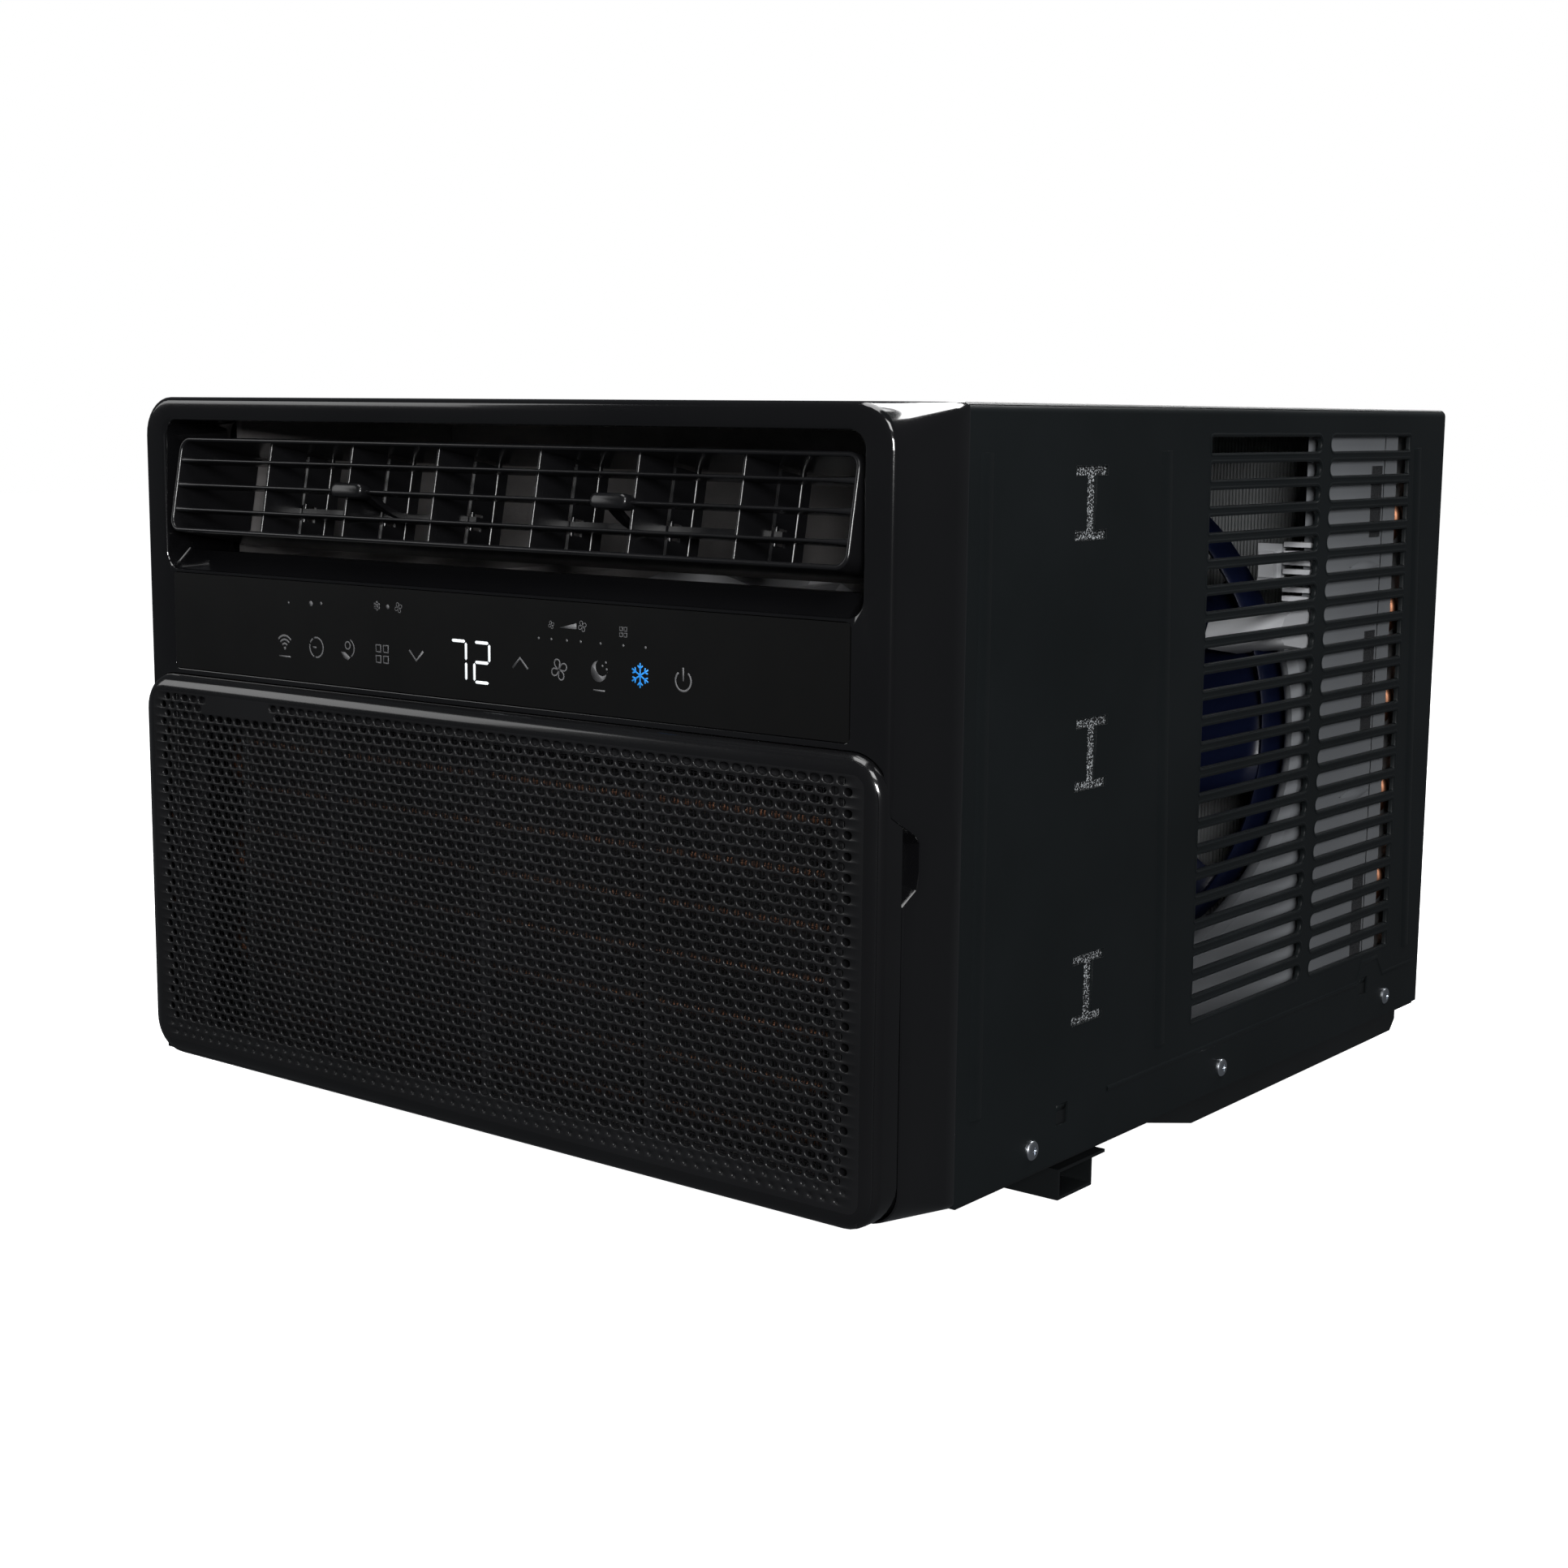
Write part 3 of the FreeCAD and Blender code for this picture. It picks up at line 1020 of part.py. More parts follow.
def make_pipe(label, radius, points):
    """A bent tube: straight runs joined by tangent arcs."""
    corners = [FreeCAD.Vector(*point) for point in points]
    bend = 4 * radius
    edges = []
    start = corners[0]
    for before, corner, after in zip(corners, corners[1:], corners[2:]):
        into = (corner - before).normalize()
        out = (after - corner).normalize()
        half_turn = into.getAngle(out) / 2
        reach = bend * math.tan(half_turn)
        first = corner - into * reach
        last = corner + out * reach
        middle = corner + (out - into).normalize() * (bend / math.cos(half_turn) - bend)
        edges.append(Part.LineSegment(start, first).toShape())
        edges.append(Part.Arc(first, middle, last).toShape())
        start = last
    edges.append(Part.LineSegment(start, corners[-1]).toShape())
    path = Part.Wire(edges)
    heading = (corners[1] - corners[0]).normalize()
    circle = Part.Wire([Part.makeCircle(radius, corners[0], heading)])
    item = DOC.addObject("Part::Feature", "pipe_" + label)
    item.Shape = path.makePipeShell([circle], True, False)
    keep(item, label)


# the corners of each pipe's path, and its radius
PIPES = (
    ("suction_line", 5, ((-60, 72, 197.2), (-60, 72, 275), (-227, 72, 275), (-227, -200, 275))),
    ("discharge_line", 4, ((-186, 20, 240.5), (-186, 20, 325), (-215, 20, 325), (-215, 200, 325))),
    ("liquid_line", 3, ((-227, 200, 60), (-227, -75, 60), (-200, -100, 60), (-200, -118, 60))),
    ("capillary_tube", 1.4, ((-200, -170.2, 60), (-200, -185, 60), (-227, -185, 75),
                             (-227, -200, 110))),
)


def make_refrigerant_lines():
    for label, radius, points in PIPES:
        make_pipe(label, radius, points)
    keep(rod("drier", "y", "drier_front", "drier_rear", "drier_r", ("drier_x", "drier_z")),
         "filter_drier")


def make_electrics():
    inset = "box_steel"
    box = cut("box_shell", block("box_outer", ("box_left", "box_right"), ("box_front", "box_rear"),
                                 ("box_low", "box_high")),
              block("box_inner", ("box_left + " + inset, "box_right - " + inset),
                    ("box_front + " + inset, "box_rear - " + inset),
                    ("box_low + " + inset, "box_high + 1")))
    keep(box, "control_box")
    spot = ("cap_x", "cap_y")
    keep(rod("capacitor", "z", "cap_low", "cap_high", "cap_r", spot), "run_capacitor")
    clamp = cut("clamp_ring", rod("clamp_outer", "z", "clamp_low", "clamp_high", "cap_r + 2.2", spot),
                rod("clamp_inner", "z", "clamp_low - 1", "clamp_high + 1", "cap_r + 0.2", spot))
    keep(clamp, "capacitor_clamp")


def make_side_foam():
    inner, outer = "cab_half - steel - 0.2 - foam_thick", "cab_half - steel - 0.2"
    for word, pair in (("left", ("-(%s)" % outer, "-(%s)" % inner)), ("right", (inner, outer))):
        keep(block(word + "_foam", pair, ("foam_front", "foam_rear"), ("foam_low", "foam_high")),
             "side_insulation_" + word)


def check_and_export():
    """Stop on any failed object, then write one STEP file for each sub-part."""
    DOC.recompute()
    for item in DOC.Objects:
        bad = {"Invalid", "Error"} & set(item.State)
        if bad:
            raise RuntimeError("%s is %s" % (item.Name, bad))
    os.makedirs("parts", exist_ok=True)
    for item in PIECES:
        if item.Shape.isNull() or not item.Shape.isValid():
            raise RuntimeError("%s has a bad shape" % item.Label)
        if not item.Shape.Solids:
            raise RuntimeError("%s has no solid" % item.Label)
        item.Shape.exportStep("parts/%s.step" % item.Label)
        print("%-28s solids %d  volume %.0f" % (item.Label, len(item.Shape.Solids),
                                                item.Shape.Volume))


fill_sheet()
make_wrapper()
make_base_pan()
make_sill_rail()
make_side_screws()
make_bezel()
make_controls()
make_grille()
make_filter()
make_louvre_frame()
make_vane_group(-1, "left")
make_vane_group(1, "right")
make_coil("evaporator", "evap_half", "evap_front", "evap_rear", "evap_low", "evap_high", "evap_rows",
          "evap_half + 20")
make_coil("condenser", "cond_half", "cond_front", "cond_rear", "cond_low", "cond_high", "cond_rows",
          "pan_half - 2.3")
make_air_path()
make_bulkhead()
make_fan_line()
make_blower_wheel()
make_condenser_fan()
make_shroud()
make_compressor()
make_refrigerant_lines()
make_electrics()
make_side_foam()
check_and_export()
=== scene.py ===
import json
import math
import bmesh
import bpy
from mathutils import Matrix, Vector


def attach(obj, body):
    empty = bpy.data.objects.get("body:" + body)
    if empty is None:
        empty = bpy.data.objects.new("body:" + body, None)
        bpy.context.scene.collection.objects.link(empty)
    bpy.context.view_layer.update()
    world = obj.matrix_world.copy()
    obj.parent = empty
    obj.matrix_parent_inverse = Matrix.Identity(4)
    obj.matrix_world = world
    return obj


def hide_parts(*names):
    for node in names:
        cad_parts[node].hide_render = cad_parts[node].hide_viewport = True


# Window air conditioner. Metres, +X right seen from the room, -Y towards the room, +Z up.

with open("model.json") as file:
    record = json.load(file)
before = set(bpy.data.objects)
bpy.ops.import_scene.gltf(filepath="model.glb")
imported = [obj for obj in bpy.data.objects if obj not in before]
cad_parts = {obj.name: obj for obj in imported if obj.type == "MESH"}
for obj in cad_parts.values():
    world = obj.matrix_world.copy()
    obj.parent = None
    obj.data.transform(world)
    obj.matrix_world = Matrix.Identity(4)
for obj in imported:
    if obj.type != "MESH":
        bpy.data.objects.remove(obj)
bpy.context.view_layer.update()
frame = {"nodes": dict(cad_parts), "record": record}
NODES = frame["nodes"]
SCENE = bpy.context.scene
MM = 0.001


# camera

AZIMUTH, ELEVATION, ROLL = 37.87, 8.82, 0.57
LENS = 54.82
EYE = (795.1, -1053.6, 365.4)


def make_camera():
    azimuth, elevation, roll = (math.radians(angle) for angle in (AZIMUTH, ELEVATION, ROLL))
    back = Vector((math.sin(azimuth) * math.cos(elevation), -math.cos(azimuth) * math.cos(elevation),
        math.sin(elevation)))
    level = Vector((math.cos(azimuth), math.sin(azimuth), 0))
    upright = back.cross(level)
    right = math.cos(roll) * level + math.sin(roll) * upright
    up = math.cos(roll) * upright - math.sin(roll) * level
    data = bpy.data.cameras.new("camera")
    data.lens = LENS
    data.sensor_width = 36
    data.clip_start = 0.05
    data.clip_end = 50
    camera = bpy.data.objects.new("camera", data)
    matrix = Matrix((right, up, back)).transposed().to_4x4()
    matrix.translation = [place * MM for place in EYE]
    camera.matrix_world = matrix
    SCENE.collection.objects.link(camera)
    SCENE.camera = camera


make_camera()


# stage and light

WHITE = (1, 1, 1, 1)
AMBIENT = (0.055, 0.058, 0.062, 1)
FLOOR_HALF, FLOOR_Z = 8, -0.0005
# soft lights: name, place, target, width and height, watts
LIGHTS = (("key_front", (1.55, -1.75, 0.75), (0.1, 0, 0.2), (0.5, 0.5), 40),
    ("high_right", (1.1, -1.0, 1.5), (0.1, -0.1, 0.2), (0.6, 0.6), 9),
    ("top_panel", (-0.05, -0.1, 1.7), (0.05, -0.1, 0.3), (1.7, 0.8), 20),
    ("left_panel", (-1.7, -1.4, 0.9), (-0.1, -0.2, 0.2), (0.8, 0.8), 4),
    ("high_rear", (0.2, 1.3, 1.9), (0, 0, 0.3), (2.0, 0.5), 40),
    ("rear_fill", (-0.7, 2.3, 0.8), (0, 0.2, 0.2), (1.2, 1.0), 16))


def area_light(name, place, target, size, energy):
    data = bpy.data.lights.new(name, "AREA")
    data.shape = "RECTANGLE"
    data.size, data.size_y = size
    data.energy = energy
    light = bpy.data.objects.new(name, data)
    light.location = place
    light.rotation_euler = (Vector(target) - Vector(place)).to_track_quat("-Z", "Y").to_euler()
    SCENE.collection.objects.link(light)


def make_floor():
    """A pale floor that lights nothing and isn't mirrored in the part."""
    mesh = bpy.data.meshes.new("floor")
    mesh.from_pydata([(x * FLOOR_HALF, y * FLOOR_HALF, FLOOR_Z)
        for x, y in ((-1, -1), (1, -1), (1, 1), (-1, 1))], [], [(0, 1, 2, 3)])
    floor = bpy.data.objects.new("floor", mesh)
    SCENE.collection.objects.link(floor)
    floor.visible_glossy = False
    floor.visible_diffuse = False
    paint = Paint("floor_white")
    set_inputs(paint.shader, {"Base Color": (0.8, 0.8, 0.8, 1), "Roughness": 0.9,
        "Specular IOR Level": 0.0, "Emission Color": WHITE, "Emission Strength": 0.97})
    mesh.materials.append(paint.material)


def make_studio():
    """A white backdrop, a dim even light on the part and the soft lights."""
    SCENE.view_settings.view_transform = "Standard"
    world = bpy.data.worlds.new("studio")
    world.use_nodes = True
    SCENE.world = world
    nodes, links = world.node_tree.nodes, world.node_tree.links
    background = nodes["Background"]
    path = nodes.new("ShaderNodeLightPath")
    dim = nodes.new("ShaderNodeMix")
    dim.data_type = "RGBA"
    dim.inputs["A"].default_value = AMBIENT
    dim.inputs["B"].default_value = WHITE
    links.new(path.outputs["Is Camera Ray"], dim.inputs["Factor"])
    links.new(dim.outputs["Result"], background.inputs["Color"])
    for light in LIGHTS:
        area_light(*light)


# materials

class Paint:
    """A node material under construction."""

    def __init__(self, name):
        self.material = bpy.data.materials.new(name)
        self.material.use_nodes = True
        self.nodes = self.material.node_tree.nodes
        self.links = self.material.node_tree.links
        self.shader = self.nodes["Principled BSDF"]

    def add(self, kind, **inputs):
        node = self.nodes.new(kind)
        for key, number in inputs.items():
            node.inputs[key.replace("_", " ")].default_value = number
        return node


def set_inputs(shader, values):
    for key, number in values.items():
        shader.inputs[key].default_value = number


def noise_at(paint, scale, detail=3.0, roughness=0.5):
    """Noise in object space, so it rides with the part."""
    place = paint.add("ShaderNodeTexCoord")
    noise = paint.add("ShaderNodeTexNoise", Scale=scale, Detail=detail, Roughness=roughness)
    paint.links.new(place.outputs["Object"], noise.inputs["Vector"])
    return noise


def ramp(paint, noise, dark, light, target):
    """Feed a shader input from noise, between two (position, colour) stops."""
    node = paint.nodes.new("ShaderNodeValToRGB")
    for element, (at, colour) in zip(node.color_ramp.elements, (dark, light)):
        element.position = at
        element.color = (*colour, 1)
    paint.links.new(noise.outputs["Fac"], node.inputs["Fac"])
    paint.links.new(node.outputs["Color"], paint.shader.inputs[target])


def bump(paint, noise, strength, distance):
    node = paint.add("ShaderNodeBump", Strength=strength, Distance=distance)
    paint.links.new(noise.outputs["Fac"], node.inputs["Height"])
    paint.links.new(node.outputs["Normal"], paint.shader.inputs["Normal"])


def surface(name, dark, light, roughness, grain, strength, distance, metallic=0.0, coat=0.0, specular=0.5):
    """A moulded or painted surface: fine grain, slow colour drift and uneven gloss."""
    paint = Paint(name)
    ramp(paint, noise_at(paint, 9.0, 4.0), (0.3, dark), (0.75, light), "Base Color")
    ramp(paint, noise_at(paint, 31.0, 5.0, 0.6), (0.3, (roughness * 0.95,) * 3),
        (0.7, (min(1, roughness * 1.06),) * 3), "Roughness")
    bump(paint, noise_at(paint, grain, 2.0), strength, distance)
    set_inputs(paint.shader, {"Metallic": metallic, "Coat Weight": coat, "Coat Roughness": 0.05,
        "Specular IOR Level": specular})
    return paint.material


def glowing(name, colour, strength):
    """A lit mark: a dark film with light behind it, a little uneven."""
    paint = Paint(name)
    dim = tuple(part * 0.85 for part in colour)
    ramp(paint, noise_at(paint, 140.0, 2.0), (0.3, dim), (0.7, colour), "Base Color")
    set_inputs(paint.shader, {"Emission Color": (*colour, 1), "Emission Strength": strength,
        "Roughness": 0.5})
    return paint.material


def painted_glint_foam():
    """Foam with painted glints: fine bright specks in its colour stand in for light glinting on its cell
    walls.
    """
    paint = Paint("foam_painted_glints")
    fine = noise_at(paint, 1150.0, 1.0)
    # painted highlight: the bright stop of this ramp makes the glinting specks
    ramp(paint, fine, (0.52, (0.012, 0.013, 0.014)), (0.62, (0.55, 0.58, 0.6)), "Base Color")
    bump(paint, fine, 1.0, 0.0012)
    set_inputs(paint.shader, {"Roughness": 0.45})
    return paint.material


# a finish for each slot of the record, then the looks that only some pieces have
MATERIALS = {
    "cabinet_paint": surface("powder_coat", (0.004, 0.0055, 0.006), (0.007, 0.009, 0.010), 0.4, 2600, 0.25,
        0.00012, specular=0.35),
    "pan_paint": surface("pan_coat", (0.004, 0.005, 0.005), (0.007, 0.008, 0.009), 0.36, 2600, 0.25,
        0.00012),
    "bezel_plastic": surface("piano_black", (0.003, 0.003, 0.0035), (0.005, 0.005, 0.0055), 0.12, 900,
        0.05, 0.00005, coat=0.6),
    "grille_plastic": surface("satin_black", (0.006, 0.006, 0.0065), (0.009, 0.009, 0.010), 0.34, 2200,
        0.22, 0.00008),
    "panel_glass": surface("overlay_black", (0.0035, 0.0035, 0.0035), (0.0045, 0.0045, 0.0045), 0.34, 1800,
        0.05, 0.00004, specular=0.35),
    "louvre_plastic": surface("louvre_black", (0.005, 0.005, 0.0055), (0.008, 0.008, 0.009), 0.24, 1600,
        0.12, 0.00006),
    "screw_steel": surface("zinc_screw", (0.70, 0.74, 0.80), (0.86, 0.89, 0.94), 0.26, 3000, 0.15, 0.00004,
        metallic=1.0),
    "circuit_board": surface("solder_mask", (0.01, 0.09, 0.035), (0.015, 0.13, 0.05), 0.35, 1500, 0.15,
        0.00005),
    "display_cover": surface("display_white", (0.70, 0.72, 0.75), (0.80, 0.82, 0.84), 0.3, 900, 0.05,
        0.00004),
    "filter_plastic": surface("filter_grey", (0.02, 0.02, 0.022), (0.035, 0.035, 0.038), 0.5, 1500, 0.2,
        0.00008),
    "filter_net": surface("filter_mesh_grey", (0.012, 0.012, 0.013), (0.02, 0.02, 0.022), 0.6, 1500, 0.3,
        0.0001),
    "fin_aluminium": surface("fin_metal", (0.45, 0.46, 0.47), (0.62, 0.63, 0.64), 0.38, 1400, 0.2, 0.00006,
        metallic=1.0),
    "copper": surface("copper_tube", (0.17, 0.075, 0.042), (0.26, 0.12, 0.07), 0.42, 800, 0.15, 0.00006,
        metallic=1.0),
    "galvanised": surface("zinc_sheet", (0.34, 0.36, 0.37), (0.50, 0.52, 0.53), 0.42, 500, 0.15, 0.00008,
        metallic=0.9),
    # white foam painted down to grey: painted shade for the foam parts deep inside the unit
    "white_foam": surface("bead_foam_painted_shade", (0.09, 0.086, 0.086), (0.30, 0.285, 0.28), 0.7, 420, 0.6, 0.0006),
    "grey_foam": surface("insulation", (0.02, 0.021, 0.023), (0.04, 0.042, 0.045), 0.6, 1300, 1.0, 0.0012),
    "shroud_plastic": surface("shroud_grey", (0.17, 0.178, 0.19), (0.22, 0.23, 0.243), 0.36, 900, 0.15,
        0.00008),
    "fan_plastic": surface("fan_blue", (0.003, 0.005, 0.020), (0.005, 0.009, 0.034), 0.35, 900, 0.15,
        0.00006),
    "wheel_plastic": surface("wheel_grey", (0.28, 0.28, 0.29), (0.36, 0.36, 0.37), 0.45, 900, 0.15,
        0.00006),
    "motor_paint": surface("motor_grey", (0.10, 0.105, 0.11), (0.16, 0.165, 0.17), 0.4, 900, 0.25,
        0.00010),
    "black_paint": surface("compressor_black", (0.006, 0.006, 0.007), (0.011, 0.011, 0.012), 0.3, 900,
        0.25, 0.00012),
    "black_rubber": surface("rubber_black", (0.008, 0.008, 0.008), (0.014, 0.014, 0.014), 0.65, 1500, 0.3,
        0.0001),
    "shaft_steel": surface("ground_steel", (0.45, 0.46, 0.47), (0.6, 0.61, 0.62), 0.25, 2500, 0.15,
        0.00003, metallic=1.0),
    "capacitor_can": surface("can_aluminium", (0.5, 0.51, 0.52), (0.66, 0.67, 0.68), 0.3, 2000, 0.12,
        0.00004, metallic=1.0),
    "grille_gloss": surface("gloss_black_rim", (0.004, 0.004, 0.0045), (0.006, 0.006, 0.0065), 0.16, 900,
        0.06, 0.00005, coat=0.4),
    "fin_coated": surface("coated_fin", (0.30, 0.31, 0.32), (0.38, 0.39, 0.40), 0.5, 1400, 0.2, 0.00006,
        metallic=0.15),
    # a lighter copy of the shroud plastic for the ledge: painted light
    "shroud_painted_lit": surface("shroud_lit_painted", (0.50, 0.51, 0.53), (0.58, 0.59, 0.61), 0.4, 900, 0.15,
        0.00008),
    # foam with painted glints (bright specks in its colour) for the side insulation
    "foam_painted_glint": painted_glint_foam(),
    "symbol_grey": surface("symbol_print", (0.13, 0.13, 0.135), (0.17, 0.17, 0.175), 0.5, 1800, 0.05,
        0.00004),
    "digit_white": glowing("digit_white", (0.80, 0.84, 0.86), 0.9),
    "lit_blue": glowing("snowflake_blue", (0.02, 0.22, 0.60), 0.75),
}


def dress_nodes():
    """Give every CAD node the finish of its slot in the record, but the side insulation the foam with
    painted glints.
    """
    for entry in frame["record"]["subparts"]:
        node = NODES[entry["node"]]
        node.data.materials.clear()
        # the side insulation takes the foam with painted glints instead of its slot's finish
        foam = entry["node"].startswith("side_insulation")
        node.data.materials.append(MATERIALS["foam_painted_glint" if foam else entry["material_slot"]])


# mesh helpers: every outline and solid below is written in millimetres

def new_piece(name, points, faces, slot_name, body, sharp, swap, look):
    """A mesh piece that rides on a CAD body, with a slot of the record and its own look if given."""
    mesh = bpy.data.meshes.new(name)
    mesh.from_pydata([(x * MM, y * MM, z * MM) for x, y, z in points], [], faces)
    mesh.validate()
    work = bmesh.new()
    work.from_mesh(mesh)
    bmesh.ops.remove_doubles(work, verts=work.verts, dist=1e-6)
    bmesh.ops.recalc_face_normals(work, faces=work.faces)
    work.to_mesh(mesh)
    work.free()
    mesh.shade_smooth()
    mesh.set_sharp_from_angle(angle=math.radians(sharp))
    mesh.materials.append(MATERIALS[look or slot_name])
    item = bpy.data.objects.new(name, mesh)
    SCENE.collection.objects.link(item)
    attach(item, body)
    if swap:
        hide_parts(*swap)
    return item


def soften(item, width):
    """Round the hard edges of a piece or a CAD node."""
    change = item.modifiers.new("soft_edges", "BEVEL")
    change.width = width * MM
    change.segments = 2
    change.limit_method = "ANGLE"
    change.angle_limit = math.radians(30)
    change.harden_normals = True


def thicken(item, name, thick, offset=-1):
    """Give a sheet its thickness, inward for an offset of -1 and to both sides for 0."""
    change = item.modifiers.new(name, "SOLIDIFY")
    change.thickness = thick * MM
    change.offset = offset


class Mesh:
    """Points and faces gathered for one piece."""

    def __init__(self):
        self.points = []
        self.faces = []

    def add(self, points):
        start = len(self.points)
        self.points.extend(points)
        return list(range(start, start + len(points)))

    def face(self, *index):
        self.faces.append(tuple(index))

    def band(self, loops, closed=True):
        """Quads between one loop of points and the next."""
        rows = [self.add(loop) for loop in loops]
        for near, far in zip(rows, rows[1:]):
            count = len(near)
            for step in range(count if closed else count - 1):
                after = (step + 1) % count
                self.face(near[step], near[after], far[after], far[step])
        return rows

    def cap(self, loop):
        self.face(*self.add(loop))

    def solid(self, loops):
        """A closed body along its loops, with a flat face at each end."""
        self.band(loops)
        self.cap(loops[0])
        self.cap(loops[-1])

    def box(self, low, high):
        (x0, y0, z0), (x1, y1, z1) = low, high
        self.solid([[(x0, y0, z), (x1, y0, z), (x1, y1, z), (x0, y1, z)] for z in (z0, z1)])

    def side_box(self, side, near, far, front, rear, low, high):
        """A box on one side, from its distances to the middle."""
        xs = sorted((side * near, side * far))
        self.box((xs[0], front, low), (xs[1], rear, high))

    def sheet(self, loops, y):
        """A flat face at one depth: the first loop of (x, z) is its edge, the rest are holes."""
        work = bmesh.new()
        edges = []
        for loop in loops:
            verts = [work.verts.new((x, y, z)) for x, z in loop]
            edges += [work.edges.new((verts[step - 1], verts[step])) for step in range(len(verts))]
        bmesh.ops.triangle_fill(work, edges=edges, use_beauty=True, normal=(0, -1, 0))
        work.verts.index_update()
        start = len(self.points)
        self.points.extend(tuple(vert.co) for vert in work.verts)
        self.faces.extend(tuple(start + vert.index for vert in face.verts) for face in work.faces)
        work.free()

    def piece(self, name, slot_name, body, sharp=40, swap=(), look=None):
        return new_piece(name, self.points, self.faces, slot_name, body, sharp, swap, look)


def ring_of(half, low, high, radius, levels=(), steps=8):
    """A rounded rectangle as (x, z) points, with extra points at given heights on both sides."""
    corners = [(half - radius, high - radius), (radius - half, high - radius),
        (radius - half, low + radius), (half - radius, low + radius)]
    loop = []
    for turn, (x, z) in enumerate(corners):
        for step in range(steps + 1):
            angle = math.pi / 2 * (turn + step / steps)
            loop.append((x + radius * math.cos(angle), z + radius * math.sin(angle)))
        if turn == 1:
            loop += [(-half, level) for level in sorted(levels, reverse=True)]
    return loop + [(half, level) for level in sorted(levels)]


def at_depth(loop, y):
    return [(x, y, z) for x, z in loop]


def between(low, high, share):
    return low + (high - low) * share


def evenly(low, high, count):
    """Evenly spaced values from low to high, both included."""
    return [between(low, high, step / count) for step in range(count + 1)]


def follow(table, at):
    """Read a value from (position, value) pairs joined by straight lines."""
    if at <= table[0][0]:
        return table[0][1]
    for (start, first), (end, last) in zip(table, table[1:]):
        if at <= end:
            return between(first, last, (at - start) / (end - start))
    return table[-1][1]


def quarter(count):
    """Shares across and along a quarter round, from its start to its end."""
    for step in range(count + 1):
        angle = math.pi / 2 * step / count
        yield 1 - math.sin(angle), 1 - math.cos(angle)


# intake grille

FACE_Y = -268.5
FACE_HALF = 239
GRILLE_FRONT = -274.5
GRILLE_LOW, GRILLE_TOP, GRILLE_CORNER = 24, 228, 19
FLAT_HALF, FLAT_LOW, FLAT_HIGH, FLAT_CORNER = 230.6, 32.6, 219.6, 6
HOLE_PITCH, ROW_PITCH, TOP_ROW = 6.95, 4.492, 216.7
OPEN_ROWS, BLIND_ROWS = 39, 2
HOLE_REACH = 229
HOLE_WIDE, HOLE_HIGH = 2.75, 1.68
# smaller holes at the sides: where they start, half width and shift towards the middle
LAST_HOLES, LAST_WIDE, LAST_SHIFT = 223, 1.25, 0.9
NARROW_HOLES, NARROW_WIDE = 215, 2.1
# largest half sizes in the first blind row and below it
BLIND_HOLE, LOWEST_HOLE = (1.3, 1.1), (1.0, 0.9)
HOLE_SQUARENESS, HOLE_ROUND, ROUND_DEPTH = 0.85, 0.3, 0.4
BLIND_TAPER, BLIND_DEPTH = 0.8, 0.55
# half widths of the perforated field: its top row, the blind rows and the rest
TOP_FIELD, BLIND_FIELD, FIELD = 227, 228.6, 230.2
PLATE_THICK = 1.4
RIM_DEPTH, RIM_THICK = 5.6, 2.2
# filter guides and a hinge lug: nearest and farthest X, front and rear, low and high
GRILLE_FITTINGS = ((214, 219, -272.4, -264.5, 32, 218), (216.7, 219, -264.6, -258.5, 32, 218),
    (214, 219, -258.6, -257, 32, 218), (225, 229, -273, -258, 26.6, 34))
SKIRT_LEVELS = (44, 60, 100, 140, 163.6, 180, 197.2, 202, 204.5)
SKIRT_EDGE = ((28, -262), (34, -260.6), (41, -258.5), (197.2, -258.5), (202, -267), (204.5, -268.3))
# smooth place among the upper left holes: its two sides and the number of rows it covers
PATCH = (-189, -136.5, 2)
SQUARE = [(1, 0), (1, 0.5), (1, 1), (0.5, 1), (0, 1), (-0.5, 1), (-1, 1), (-1, 0.5), (-1, 0),
    (-1, -0.5), (-1, -1), (-0.5, -1), (0, -1), (0.5, -1), (1, -1), (1, -0.5)]


def hole_row(row):
    """Centres and half sizes of the holes in one row, smaller towards both ends."""
    odd = row % 2
    holes = {}
    for step in range(32 + odd):
        x = (step + (0 if odd else 0.5)) * HOLE_PITCH
        if x > HOLE_REACH:
            continue
        wide, high = HOLE_WIDE, HOLE_HIGH
        if x > LAST_HOLES:
            wide, high, x = LAST_WIDE, LAST_WIDE, x - LAST_SHIFT
        elif x > NARROW_HOLES:
            wide = NARROW_WIDE
        if row >= OPEN_ROWS:
            most_wide, high = BLIND_HOLE if row == OPEN_ROWS else LOWEST_HOLE
            wide = min(wide, most_wide)
        holes[x] = holes[-x] = (wide, high)
    return sorted(holes.items())


def field_half(row):
    """How far the perforated field reaches to each side in one row."""
    if row == 0:
        return TOP_FIELD
    return BLIND_FIELD if row >= OPEN_ROWS else FIELD


def oval(x, z, wide, high, y):
    loop = []
    for step in range(16):
        angle = math.pi / 8 * step
        across, up = math.cos(angle), math.sin(angle)
        loop.append((x + wide * math.copysign(abs(across) ** HOLE_SQUARENESS, across), y,
            z + high * math.copysign(abs(up) ** HOLE_SQUARENESS, up)))
    return loop


